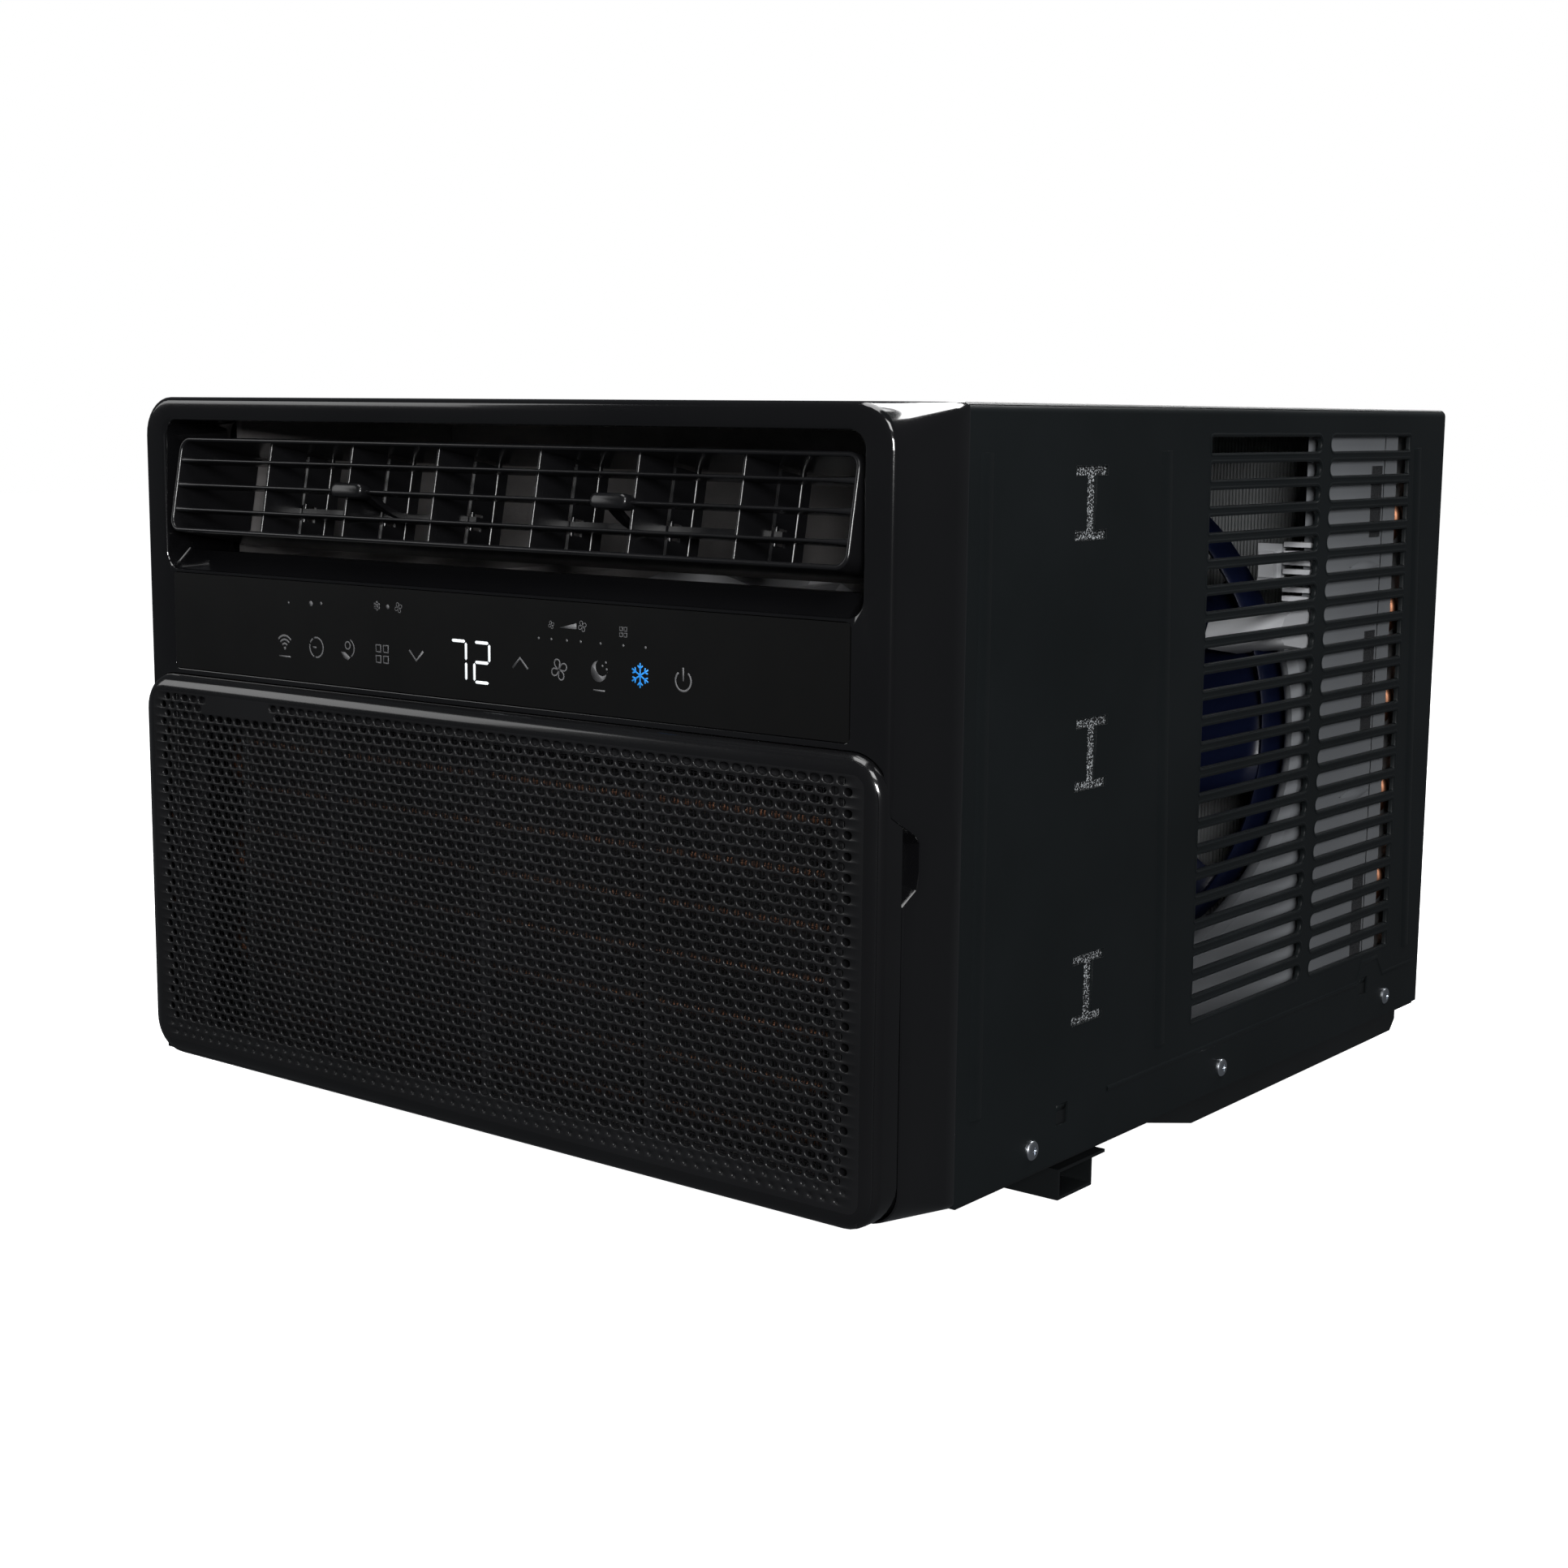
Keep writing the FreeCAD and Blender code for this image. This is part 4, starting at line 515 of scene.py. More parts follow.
def hole_cell(mesh, x, z, left, right, size, blind):
    """One cell of the perforated sheet: its front, a rounded rim, the wall and the back."""
    wide, high = size
    edge = [(x + u * ((right - x) if u > 0 else (x - left)), z + v * ROW_PITCH / 2) for u, v in SQUARE]
    front, back = at_depth(edge, GRILLE_FRONT), at_depth(edge, GRILLE_FRONT + PLATE_THICK)
    rim = oval(x, z, wide + HOLE_ROUND, high + HOLE_ROUND, GRILLE_FRONT)
    throat = oval(x, z, wide, high, GRILLE_FRONT + ROUND_DEPTH)
    if blind:
        floor = oval(x, z, wide * BLIND_TAPER, high * BLIND_TAPER, GRILLE_FRONT + BLIND_DEPTH)
        mesh.band([front, rim, throat, floor])
        mesh.cap(floor)
        mesh.cap(back)
    else:
        mesh.band([front, rim, throat, oval(x, z, wide, high, GRILLE_FRONT + PLATE_THICK), back])


def perforated_field(mesh):
    for row in range(OPEN_ROWS + BLIND_ROWS):
        z = TOP_ROW - row * ROW_PITCH
        reach = field_half(row)
        holes = [(x, size) for x, size in hole_row(row) if abs(x) + size[0] < reach]
        centres = [x for x, _ in holes]
        walls = [-reach] + [(a + b) / 2 for a, b in zip(centres, centres[1:])] + [reach]
        for (x, size), left, right in zip(holes, walls, walls[1:]):
            if row < PATCH[2] and PATCH[0] < x < PATCH[1]:
                low, high = z - ROW_PITCH / 2, z + ROW_PITCH / 2
                for y in (GRILLE_FRONT, GRILLE_FRONT + PLATE_THICK):
                    mesh.cap([(left, y, low), (right, y, low), (right, y, high), (left, y, high)])
            else:
                hole_cell(mesh, x, z, left, right, size, row >= OPEN_ROWS)


def field_edge():
    """The stepped outline of the perforated field."""
    right = []
    for row in range(OPEN_ROWS + BLIND_ROWS):
        z = TOP_ROW - row * ROW_PITCH
        right += [(field_half(row), z + ROW_PITCH / 2), (field_half(row), z - ROW_PITCH / 2)]
    kept = [point for step, point in enumerate(right) if step == 0 or point != right[step - 1]]
    return kept + [(-x, z) for x, z in reversed(kept)]


def make_grille():
    mesh = Mesh()
    perforated_field(mesh)
    flat = ring_of(FLAT_HALF, FLAT_LOW, FLAT_HIGH, FLAT_CORNER, SKIRT_LEVELS)
    outer = ring_of(FACE_HALF, GRILLE_LOW, GRILLE_TOP, GRILLE_CORNER, SKIRT_LEVELS)
    inner = ring_of(FACE_HALF - RIM_THICK, GRILLE_LOW + RIM_THICK, GRILLE_TOP - RIM_THICK,
        GRILLE_CORNER - RIM_THICK, SKIRT_LEVELS)
    mesh.sheet([flat, field_edge()], GRILLE_FRONT)
    mesh.sheet([inner, field_edge()], GRILLE_FRONT + PLATE_THICK)
    mesh.piece("grille_shell", "grille_plastic", "grille", 55, ("intake_grille",))
    rim = Mesh()
    loops = []
    for share, rise in quarter(7):
        loops.append([(between(a, c, share), GRILLE_FRONT + RIM_DEPTH * rise, between(b, d, share))
            for (a, b), (c, d) in zip(outer, flat)])
    skirt = [(x, follow(SKIRT_EDGE, z), z) for x, z in outer]
    loops.append(skirt)
    loops.append([(x, y, z) for (x, z), (_, y, _) in zip(inner, skirt)])
    loops.append(at_depth(inner, GRILLE_FRONT + PLATE_THICK))
    rim.band(loops)
    rim.piece("grille_rim", "grille_plastic", "grille", 55, look="grille_gloss")
    fittings = Mesh()
    for side in (-1, 1):
        for extent in GRILLE_FITTINGS:
            fittings.side_box(side, *extent)
    soften(fittings.piece("grille_fittings", "grille_plastic", "grille"), 0.4)


# front bezel

BEZEL_REAR = -218.5
REAR_HALF = 242
FACE_TOP, FACE_LOW, FACE_CORNER = 370.7, 24, 20
EDGE_ROUND = 3
# front edge of the bezel's side: (height, depth), round the finger notch
SIDE_EDGE = ((163.6, -258), (169.5, -248.9), (177.2, -247.4), (189.3, -247.6), (193.2, -251.2),
    (202.1, -266.6), (204.5, FACE_Y))
# radius of that edge by height, widest on the notch's lower slope
EDGE_ROUNDS = ((160, 0.7), (164, 2), (170, 2), (176, 0.8), (202.1, 0.7), (206, EDGE_ROUND))
SIDE_LEVELS = (60, 110, 163.6, 166.5, 169.5, 173, 177.2, 183, 189.3, 191, 193.2, 197.5, 202.1,
    204.5, 212, 220.1, 240, 300)
SPANDREL_Z = 220.1
SEAM = 0.5
# openings in the face: half width, low and high, first at the rim and then inside its rounded edge
OUTLET_RIM, OUTLET_WALL, OUTLET_CORNER = (225.5, 282.5, 361), (223.5, 283, 359), 8
POCKET_RIM, POCKET_WALL, POCKET_CORNER = (218.9, 230.7, 281.7), (218.3, 231.2, 281.2), 3.2
POCKET_DEPTH = 2.2
# low edge of the outlet recess by depth
RECESS_LOW = ((-257, 292.4), (-253, 292.4), (-249, 287), (-225, 287))
# finger notch: X of its floor, front wall, and the height and share it narrows to
NOTCH_FLOOR, NOTCH_FRONT, NOTCH_Z, NOTCH_SHARE = 233.2, -264.5, 183.5, 0.86
# hinge blocks behind the grille: nearest and farthest X, front and rear, low and high
HINGE_BLOCKS = ((220, 224, -264.5, -246.5, 26.8, 34), (220, 224, -255.5, -246.5, 25, 29))


def bezel_ring(y, inset):
    """The bezel's outline at one depth, shrunk by an inset."""
    share = (y - FACE_Y) / (BEZEL_REAR - FACE_Y)
    half = between(FACE_HALF, REAR_HALF, share) - inset
    corner = max(1.5, between(FACE_CORNER, 3, share) - inset)
    return ring_of(half, FACE_LOW - 0.3 * share + inset, FACE_TOP + 0.3 * share - inset, corner,
        SIDE_LEVELS)


def bezel_skin(mesh):
    """The outer skin, from the rounded front edge back to the cabinet."""
    guide = bezel_ring(FACE_Y, 0)
    starts = [follow(SIDE_EDGE, z) for _, z in guide]
    rounds = [follow(EDGE_ROUNDS, z) for _, z in guide]

    def point(index, y, inset, shown=None):
        x, z = bezel_ring(y, inset)[index]
        return x, y if shown is None else shown, z

    loops = [[point(index, start + radius * rise, radius * share)
        for index, (start, radius) in enumerate(zip(starts, rounds))] for share, rise in quarter(6)]
    loops += [[point(index, between(start + radius, BEZEL_REAR, share), 0)
        for index, (start, radius) in enumerate(zip(starts, rounds))]
        for share in (0.2, 0.4, 0.6, 0.8, 0.97)]
    for y, inset in ((BEZEL_REAR, 0.5), (BEZEL_REAR, 2.4), (BEZEL_REAR - 4, 2.5)):
        loops.append(at_depth(bezel_ring(y, inset), y))
    loops.append([point(index, start, 2.5, start + 0.4) for index, start in enumerate(starts)])
    mesh.band(loops)
    return loops[0]


def rounded_edge(wall, rim, corner, depth, count):
    """Loops round the front edge of an opening, from its rim to its wall."""
    return [at_depth(ring_of(*(between(a, b, share) for a, b in zip(wall, rim)), corner),
        FACE_Y + depth * rise) for share, rise in list(quarter(count))[1:]]


def bezel_face(mesh, edge):
    """The flat front above the grille, with the outlet and the panel pocket let into it."""
    upper = [(x, z) for x, _, z in edge if z >= SPANDREL_Z - 0.01]
    split = next(step for step, (x, z) in enumerate(upper)
        if step and abs(upper[step - 1][1] - z) < 0.01 and z < SPANDREL_Z + 0.1)
    upper = upper[split:] + upper[:split]
    centre, radius = FACE_HALF - GRILLE_CORNER, GRILLE_CORNER + SEAM
    start = math.acos((FACE_HALF - EDGE_ROUND - centre) / radius)
    arc = [(centre + radius * math.cos(angle), GRILLE_TOP - GRILLE_CORNER + radius * math.sin(angle))
        for angle in evenly(start, math.pi / 2, 8)]
    lower = [(-x, z) for x, z in arc] + list(reversed(arc))
    outlet = ring_of(*OUTLET_RIM, 9.5)
    pocket = ring_of(*POCKET_RIM, 3.6)
    mesh.sheet([upper + lower, outlet, pocket], FACE_Y)
    half, _, high = OUTLET_WALL
    mesh.band([at_depth(outlet, FACE_Y), *rounded_edge(OUTLET_WALL, OUTLET_RIM, 8.5, 2, 4),
        *(at_depth(ring_of(half, low, high, OUTLET_CORNER), y) for y, low in RECESS_LOW)])
    floor = ring_of(*POCKET_WALL, POCKET_CORNER)
    mesh.band([at_depth(pocket, FACE_Y), *rounded_edge(POCKET_WALL, POCKET_RIM, POCKET_CORNER, 0.6, 3),
        at_depth(floor, FACE_Y + POCKET_DEPTH)])
    mesh.sheet([floor], FACE_Y + POCKET_DEPTH)


def notch_cup(mesh):
    """The scoop behind the grille's edge that fingers pull on, one at each side."""
    for side in (-1, 1):
        outer, inner = [], []
        for z, y in SIDE_EDGE:
            share = (y - FACE_Y) / (BEZEL_REAR - FACE_Y)
            outer.append((side * (between(FACE_HALF, REAR_HALF, share) - 0.6), y, z))
            inner.append((side * NOTCH_FLOOR, y - 1.2, between(NOTCH_Z, z, NOTCH_SHARE)))
        front = [(x, NOTCH_FRONT, z) for x, _, z in inner]
        mesh.band([outer, inner, front], closed=False)


def make_bezel():
    mesh = Mesh()
    edge = bezel_skin(mesh)
    bezel_face(mesh, edge)
    notch_cup(mesh)
    mesh.piece("bezel_shell", "bezel_plastic", "cabinet", 38, ("front_bezel",))
    inside = Mesh()
    for side in (-1, 1):
        for extent in HINGE_BLOCKS:
            inside.side_box(side, *extent)
    inside.box((-235, FACE_Y + 1, 228.6), (235, FACE_Y + 24, 230.6))
    soften(inside.piece("bezel_shelf", "bezel_plastic", "cabinet"), 0.4)


# louvre and its vanes, modelled in the louvre's own axes and then tilted to the rest angle

PIVOT = (-242.1, 321.9)
REST_TILT = math.radians(-10.7)
RING_HALF, RING_HIGH, RING_BAR, RING_CORNER = 218, 24.5, 2.3, 7
RING_FRONT, RING_BACK = -25, 26
BLADE_PITCH, BLADE_HALF = 12.7, 0.8
RIBS = [side * at for side in (-1, 1) for at in (33, 93, 153)]
# blades by X from one end: thicker where they run into the ring
BLADE_ENDS, BLADE_DEEP = ((0, 2.0), (6, 1.5), (18, 1)), 15
RIB_HALF, RIB_FRONT, RIB_TAIL, RIB_REAR = 0.9, -18.5, 0.6, 4
# pivot pin: start and end beyond the ring, and radius
PINS = ((-1, 5.4, 4), (5, 7.4, 2.5))
# finger tab: size by depth, and its lever's X, depth, drop and half width from start to end
TAB_AT, TAB_HALF, TAB_HIGH = 85, 11, 3.5
TAB_SHAPE = ((0.55, -28), (0.85, -27.6), (1, -26.6), (1, -21), (0.9, -19.6), (0.6, -19.2))
LEVER_X, LEVER_Y, LEVER_DROP, LEVER_HALF, LEVER_HIGH = (80, 76.2), (-19.6, 6), -8, (3.2, 1.9), 1.4


def tilt_mesh(mesh):
    """Turn a mesh from the louvre's own axes to the frame's."""
    turn, rise = math.cos(REST_TILT), math.sin(REST_TILT)
    mesh.points = [(x, PIVOT[0] + y * turn - z * rise, PIVOT[1] + y * rise + z * turn)
        for x, y, z in mesh.points]
    return mesh


def blade_profile(front, back, half):
    """A thin blade with a round nose and a tapered tail."""
    nose = [(front + half - half * math.cos(angle), half * math.sin(angle))
        for angle in evenly(-math.pi / 2, math.pi / 2, 6)]
    return nose + [(back, half * 0.5), (back, -half * 0.5)]


def make_louvre():
    mesh = Mesh()
    nose = [(RING_BAR / 2 * (1 - math.cos(angle)), RING_FRONT + RING_BAR / 2 * (1 - math.sin(angle)))
        for angle in evenly(0, math.pi, 8)]
    profile = nose + [(RING_BAR, RING_BACK), (0, RING_BACK)]
    loops = []
    for inset, y in profile + profile[:1]:
        loops.append(at_depth(ring_of(RING_HALF - inset, inset - RING_HIGH, RING_HIGH - inset,
            RING_CORNER - inset), y))
    mesh.band(loops)
    outline = blade_profile(RING_FRONT + BLADE_HALF, RING_FRONT + BLADE_DEEP, BLADE_HALF)
    reach = RING_HALF - 1
    stations = [(at - reach, swell) for at, swell in BLADE_ENDS]
    stations += [(reach - at, swell) for at, swell in reversed(BLADE_ENDS)]
    for row in (-1, 0, 1):
        lift = row * BLADE_PITCH
        mesh.band([[(x, y, lift + z * swell) for y, z in outline] for x, swell in stations])
    for x in RIBS:
        edge = [(x + RIB_HALF * math.cos(angle), RIB_FRONT - RIB_HALF * math.sin(angle))
            for angle in evenly(0, math.pi, 6)]
        edge += [(x - RIB_TAIL, RIB_REAR), (x + RIB_TAIL, RIB_REAR)]
        mesh.band([[(a, b, z) for a, b in edge] for z in (1 - RING_HIGH, RING_HIGH - 1)])
    for side in (-1, 1):
        for low, high, radius in PINS:
            circle = [(radius * math.cos(math.pi / 12 * step), radius * math.sin(math.pi / 12 * step))
                for step in range(24)]
            loops = [[(side * (RING_HALF + x), y, z) for y, z in circle] for x in (low, high)]
            mesh.band(loops)
            mesh.cap(loops[1])
    tilt_mesh(mesh).piece("louvre_shell", "louvre_plastic", "louvre", 40, ("louvre_frame",))


def pill(half_x, half_z, steps=10):
    """A rounded bar seen from the front, as (x, z) points."""
    loop = []
    for step in range(2 * steps):
        angle = math.pi * (step + 0.5) / steps
        centre = math.copysign(half_x - half_z, math.cos(angle))
        loop.append((centre + half_z * math.cos(angle), half_z * math.sin(angle)))
    return loop


def make_tab(word, side):
    """The oval finger tab on the middle blade, with the curved lever that turns its vanes."""
    mesh = Mesh()
    middle = side * TAB_AT
    mesh.solid([[(middle + x * (0.5 + size / 2), y, z * size) for x, z in pill(TAB_HALF, TAB_HIGH)]
        for size, y in TAB_SHAPE])
    loops = []
    for share in evenly(0, 1, 8):
        x, y = side * between(*LEVER_X, share), between(*LEVER_Y, share)
        z, half = LEVER_DROP * math.sin(share * math.pi / 2), between(*LEVER_HALF, share)
        loops.append([(x + a * half, y, z + b * LEVER_HIGH)
            for a, b in ((-1, -1), (1, -1), (1, 1), (-1, 1))])
    mesh.band(loops)
    mesh.cap(loops[-1])
    tilt_mesh(mesh).piece(word + "_tab_shell", "louvre_plastic", word + "_tab", 50, (word + "_vane_tab",))


# touch panel symbols: flat printed marks a little proud of the panel

PANEL_Y = FACE_Y - 0.06
SYMBOL_Z = 250
FILM = 0.05


def arc_points(x, z, radius, start, end, count=20):
    """Points on an arc, with the angles in degrees."""
    return [(x + radius * math.cos(angle), z + radius * math.sin(angle))
        for angle in map(math.radians, evenly(start, end, count))]


def stroke(mesh, line, width, closed=False):
    """A flat line of even width on the panel."""
    count = len(line)
    left, right = [], []
    for step, (x, z) in enumerate(line):
        before = line[step - 1] if step or closed else line[0]
        after = line[(step + 1) % count] if step < count - 1 or closed else line[-1]
        along = Vector((after[0] - before[0], after[1] - before[1])).normalized()
        left.append((x - along.y * width / 2, PANEL_Y, z + along.x * width / 2))
        right.append((x + along.y * width / 2, PANEL_Y, z - along.x * width / 2))
    near, far = mesh.add(left), mesh.add(right)
    for step in range(count if closed else count - 1):
        after = (step + 1) % count
        mesh.face(near[step], near[after], far[after], far[step])


def patch(mesh, outline):
    mesh.cap([(x, PANEL_Y, z) for x, z in outline])


def dot(mesh, x, z, radius):
    patch(mesh, arc_points(x, z, radius, 0, 345, 23))


def wifi_mark(mesh, x, z):
    for radius in (2.3, 4.3, 6.3):
        stroke(mesh, arc_points(x, z - 3.4, radius, 42, 138), 1)
    dot(mesh, x, z - 3.4, 0.8)


def clock_mark(mesh, x, z):
    for start, end in ((-100, 110), (122, 152), (164, 250)):
        stroke(mesh, arc_points(x, z, 4.9, start, end), 0.8)
    stroke(mesh, [(x - 2.6, z), (x, z)], 0.8)


def leaf_mark(mesh, x, z):
    stroke(mesh, arc_points(x - 0.8, z + 2, 1.8, 0, 345, 16), 0.7, True)
    stroke(mesh, arc_points(x - 0.8, z + 0.6, 4.6, -60, 66, 12), 0.7)
    patch(mesh, [(x - 5.6, z - 1.2), (x - 2.6, z - 1.4), (x + 1, z - 3.8), (x - 0.6, z - 5.2),
        (x - 3.6, z - 4.4)])


def squares_mark(mesh, x, z, spread):
    for across in (-spread, spread):
        for up in (-spread, spread):
            stroke(mesh, [(x + across + a * spread * 0.64, z + up + b * spread * 0.64)
                for a, b in ((-1, -1), (1, -1), (1, 1), (-1, 1))], spread * 0.3, True)


def chevron_mark(mesh, x, z, way):
    stroke(mesh, [(x - 4.8, z - way * 2.2), (x, z + way * 2.6), (x + 4.8, z - way * 2.2)], 1.1)


def fan_mark(mesh, x, z, size):
    for turn in range(4):
        angle = 90 * turn
        tip = [(x, z)]
        for share in evenly(0, 1, 8):
            spread = math.radians(angle + between(-8, 62, share))
            reach = size * math.sin(math.pi * between(0.18, 0.9, share)) ** 0.6
            tip.append((x + reach * math.cos(spread), z + reach * math.sin(spread)))
        stroke(mesh, tip, size * 0.14, True)


def moon_mark(mesh, x, z):
    patch(mesh, arc_points(x, z, 4.7, 100, 350) + arc_points(x + 2, z + 1.9, 3.9, 330, 118, 12))
    for across, up in ((2.2, 2.6), (4.2, 4.2), (4.7, 1.2)):
        dot(mesh, x + across, z + up, 0.55)


def snow_mark(mesh, x, z, size, width):
    for turn in range(6):
        angle = math.radians(60 * turn + 30)
        ahead = Vector((math.cos(angle), math.sin(angle)))
        stroke(mesh, [(x, z), (x + size * ahead.x, z + size * ahead.y)], width)
        for way in (-1, 1):
            branch = Vector((math.cos(angle + way * 0.85), math.sin(angle + way * 0.85)))
            base = ahead * size * 0.55
            stroke(mesh, [(x + base.x, z + base.y), (x + base.x + branch.x * size * 0.36,
                z + base.y + branch.y * size * 0.36)], width)


def power_mark(mesh, x, z):
    stroke(mesh, arc_points(x, z - 0.6, 4.4, 128, 412, 28), 0.9)
    stroke(mesh, [(x, z - 0.6), (x, z + 5.2)], 0.9)


SEGMENTS = {"a": (0, 1, 1, 1), "b": (1, 1, 1, 0), "c": (1, 0, 1, -1), "d": (0, -1, 1, -1),
    "e": (0, 0, 0, -1), "f": (0, 1, 0, 0), "g": (0, 0, 1, 0)}


def digit(mesh, x, z, lit):
    """A seven-segment digit made of straight bars with pointed ends."""
    wide, high, thick, gap = 9.8, 9.3, 1.4, 1.2
    for letter in lit:
        x0, z0, x1, z1 = SEGMENTS[letter]
        start = Vector((x + x0 * wide, z + z0 * high))
        end = Vector((x + x1 * wide, z + z1 * high))
        along = (end - start).normalized()
        start, end = start + along * gap, end - along * gap
        side = Vector((-along.y, along.x)) * thick / 2
        nib = along * thick / 2
        patch(mesh, [tuple(start - nib), tuple(start - side), tuple(end - side), tuple(end + nib),
            tuple(end + side), tuple(start + side)])


def make_symbols():
    grey = Mesh()
    wifi_mark(grey, -132.2, SYMBOL_Z + 0.5)
    clock_mark(grey, -108.6, SYMBOL_Z - 1)
    leaf_mark(grey, -85, SYMBOL_Z - 0.5)
    squares_mark(grey, -61.3, SYMBOL_Z - 1, 2.6)
    chevron_mark(grey, -37.7, SYMBOL_Z, -1)
    chevron_mark(grey, 30.8, SYMBOL_Z + 1, 1)
    fan_mark(grey, 55.2, SYMBOL_Z, 4.9)
    moon_mark(grey, 79.4, SYMBOL_Z + 1)
    power_mark(grey, 128.7, SYMBOL_Z + 1)
    stroke(grey, [(-136.5, 243), (-128, 243)], 0.7)
    stroke(grey, [(76, 242.4), (83, 242.4)], 0.7)
    for x, z, radius in ((-128.6, 270, 0.6), (-112, 270.5, 1.3), (-104.5, 271, 0.8), (-57, 272, 1.1)):
        dot(grey, x, z, radius)
    snow_mark(grey, -64.5, 272, 2.4, 0.5)
    fan_mark(grey, -49.5, 272, 2.5)
    fan_mark(grey, 50.5, 270, 1.8)
    patch(grey, [(55, 269), (66, 269), (66, 271.6)])
    fan_mark(grey, 69.5, 270.5, 2.5)
    squares_mark(grey, 94, 269.5, 1.3)
    for x in (42.6, 50.5, 60, 68.5, 80.5, 94, 107):
        dot(grey, x, 263.5, 0.6)
    lift_symbols(grey, "panel_symbols", "symbol_grey")
    lit = Mesh()
    digit(lit, -14, 249.6, "abc")
    digit(lit, 1.2, 249.6, "abged")
    lift_symbols(lit, "panel_digits", "digit_white")
    blue = Mesh()
    snow_mark(blue, 103.9, SYMBOL_Z + 1, 5.5, 0.7)
    lift_symbols(blue, "panel_snowflake", "lit_blue")


def lift_symbols(mesh, name, look):
    """Make the marks a thin film with its own look."""
    thicken(mesh.piece(name, "display_cover", "cabinet", 80, look=look), "film", FILM, 0)


# cabinet details

CAB = 241
VENT_ROWS, VENT_PITCH, VENT_LOW, VENT_HIGH = 23, 12.86, 65.4, 8
VENTS = ((-6.1, 115.5, False, True), (126.2, 227.5, True, False))
I_SLOTS = ((-118.1, 327), (-112, 213), (-109, 102.5))
SCREW_YS, SCREW_Z = (-154.6, 28.3, 229.1), 34.6
LANCES, LANCE_TOP, LANCE_LONG, LANCE_IN = (-129, 199), 50.6, 8.4, 3.4
# half of an I-shaped opening's outline, from one end bar across the web to the other
I_HALF = ((-13.8, -16.4), (13.8, -16.4), (13.8, -12.4), (3.8, -12.4), (3.8, 12.4), (13.8, 12.4))
# screw head: radius and height, then size and height of its cross recess
SCREW_HEAD = ((4.6, 0), (4.6, 0.6), (4.2, 1.15), (3.4, 1.5), (2.5, 1.72), (1.9, 1.76))
CROSS = ((1, 1.76), (0.72, 0.8), (0.3, 0.5))
CROSS_REACH, CROSS_WAIST = 1.8, 0.62


def slot_outline(front, rear, low, high, round_front, round_rear):
    """A vent slot as (y, z) points: an end is a half circle or square with small corners."""
    half = (high - low) / 2
    middle = low + half
    loop = []
    for end, rounded, start in ((rear, round_rear, -90), (front, round_front, 90)):
        way = 1 if end == rear else -1
        radius = half if rounded else 0.8
        if rounded:
            loop += [(end - way * radius + radius * math.cos(math.radians(start + 180 * step / 10)),
                middle + radius * math.sin(math.radians(start + 180 * step / 10))) for step in range(11)]
        else:
            for corner, first in ((-way, start), (way, start + 90)):
                loop += [(end - way * radius + radius * math.cos(math.radians(first + 90 * step / 3)),
                          middle + corner * (half - radius)
                          + radius * math.sin(math.radians(first + 90 * step / 3)))
                         for step in range(4)]
    return loop


def grown(loop, amount):
    """An outline moved outward by an amount along its corner normals."""
    count = len(loop)
    result = []
    for step, (y, z) in enumerate(loop):
        before, after = loop[step - 1], loop[(step + 1) % count]
        along = Vector((after[0] - before[0], after[1] - before[1]))
        along = along.normalized() if along.length else Vector((1, 0))
        result.append((y + along.y * amount, z - along.x * amount))
    return result


def lip(mesh, loop, side, proud, deep, width):
    """A formed edge round an opening in a side panel: a rounded rim that turns inward."""
    stations = ((width, 0.02), (width * 0.75, proud), (width * 0.45, proud), (width * 0.2, proud * 0.3),
        (0, -0.5), (-0.12, -1.1), (-0.15, -deep))
    mesh.band([[(side * (CAB + out), y, z) for y, z in grown(loop, grow)] for grow, out in stations])


def make_side_trim():
    mesh = Mesh()
    for side in (-1, 1):
        for row in range(VENT_ROWS):
            low = VENT_LOW + row * VENT_PITCH
            for front, rear, round_front, round_rear in VENTS:
                lip(mesh, slot_outline(front, rear, low, low + VENT_HIGH, round_front, round_rear),
                    side, 0.25, 2.6, 1.7)
        for y, z in I_SLOTS:
            outline = [(y + way * a, z + way * b) for way in (1, -1) for a, b in I_HALF]
            lip(mesh, outline, side, 0.1, 1.3, 0.5)
    mesh.piece("side_vent_lips", "cabinet_paint", "cabinet", 50)


# a shallow pressed step low on each side: (y, z) of its line
STEP_LINE = ((-88, 49), (-42, 49), (190, 49), (196, 60), (216, 60), (224, 49), (268, 49))


def make_step_line():
    """The step pressed along the lower edge of each side panel."""
    mesh = Mesh()
    for side in (-1, 1):
        loops = []
        for grow, out in ((-1.6, 0.02), (-0.8, 0.35), (0.2, 0.5), (0.9, 0.3), (1.4, 0.02)):
            loops.append([(side * (CAB + out), y, z + grow) for y, z in STEP_LINE])
        mesh.band(loops, closed=False)
    mesh.piece("side_step_line", "cabinet_paint", "cabinet", 50)


def make_lance_tabs():
    """The little tongues bent inward from the square openings."""
    mesh = Mesh()
    for side in (-1, 1):
        for y in LANCES:
            loops = []
            for share in evenly(0, 1, 5):
                inward = LANCE_IN * share ** 1.4
                up = LANCE_TOP - LANCE_LONG * share
                loops.append([(side * (CAB - 0.3 - inward), y + a, up) for a in (-4, 4)])
            mesh.band(loops, closed=False)
    thicken(mesh.piece("side_lance_tabs", "cabinet_paint", "cabinet", 60), "sheet", 0.9)


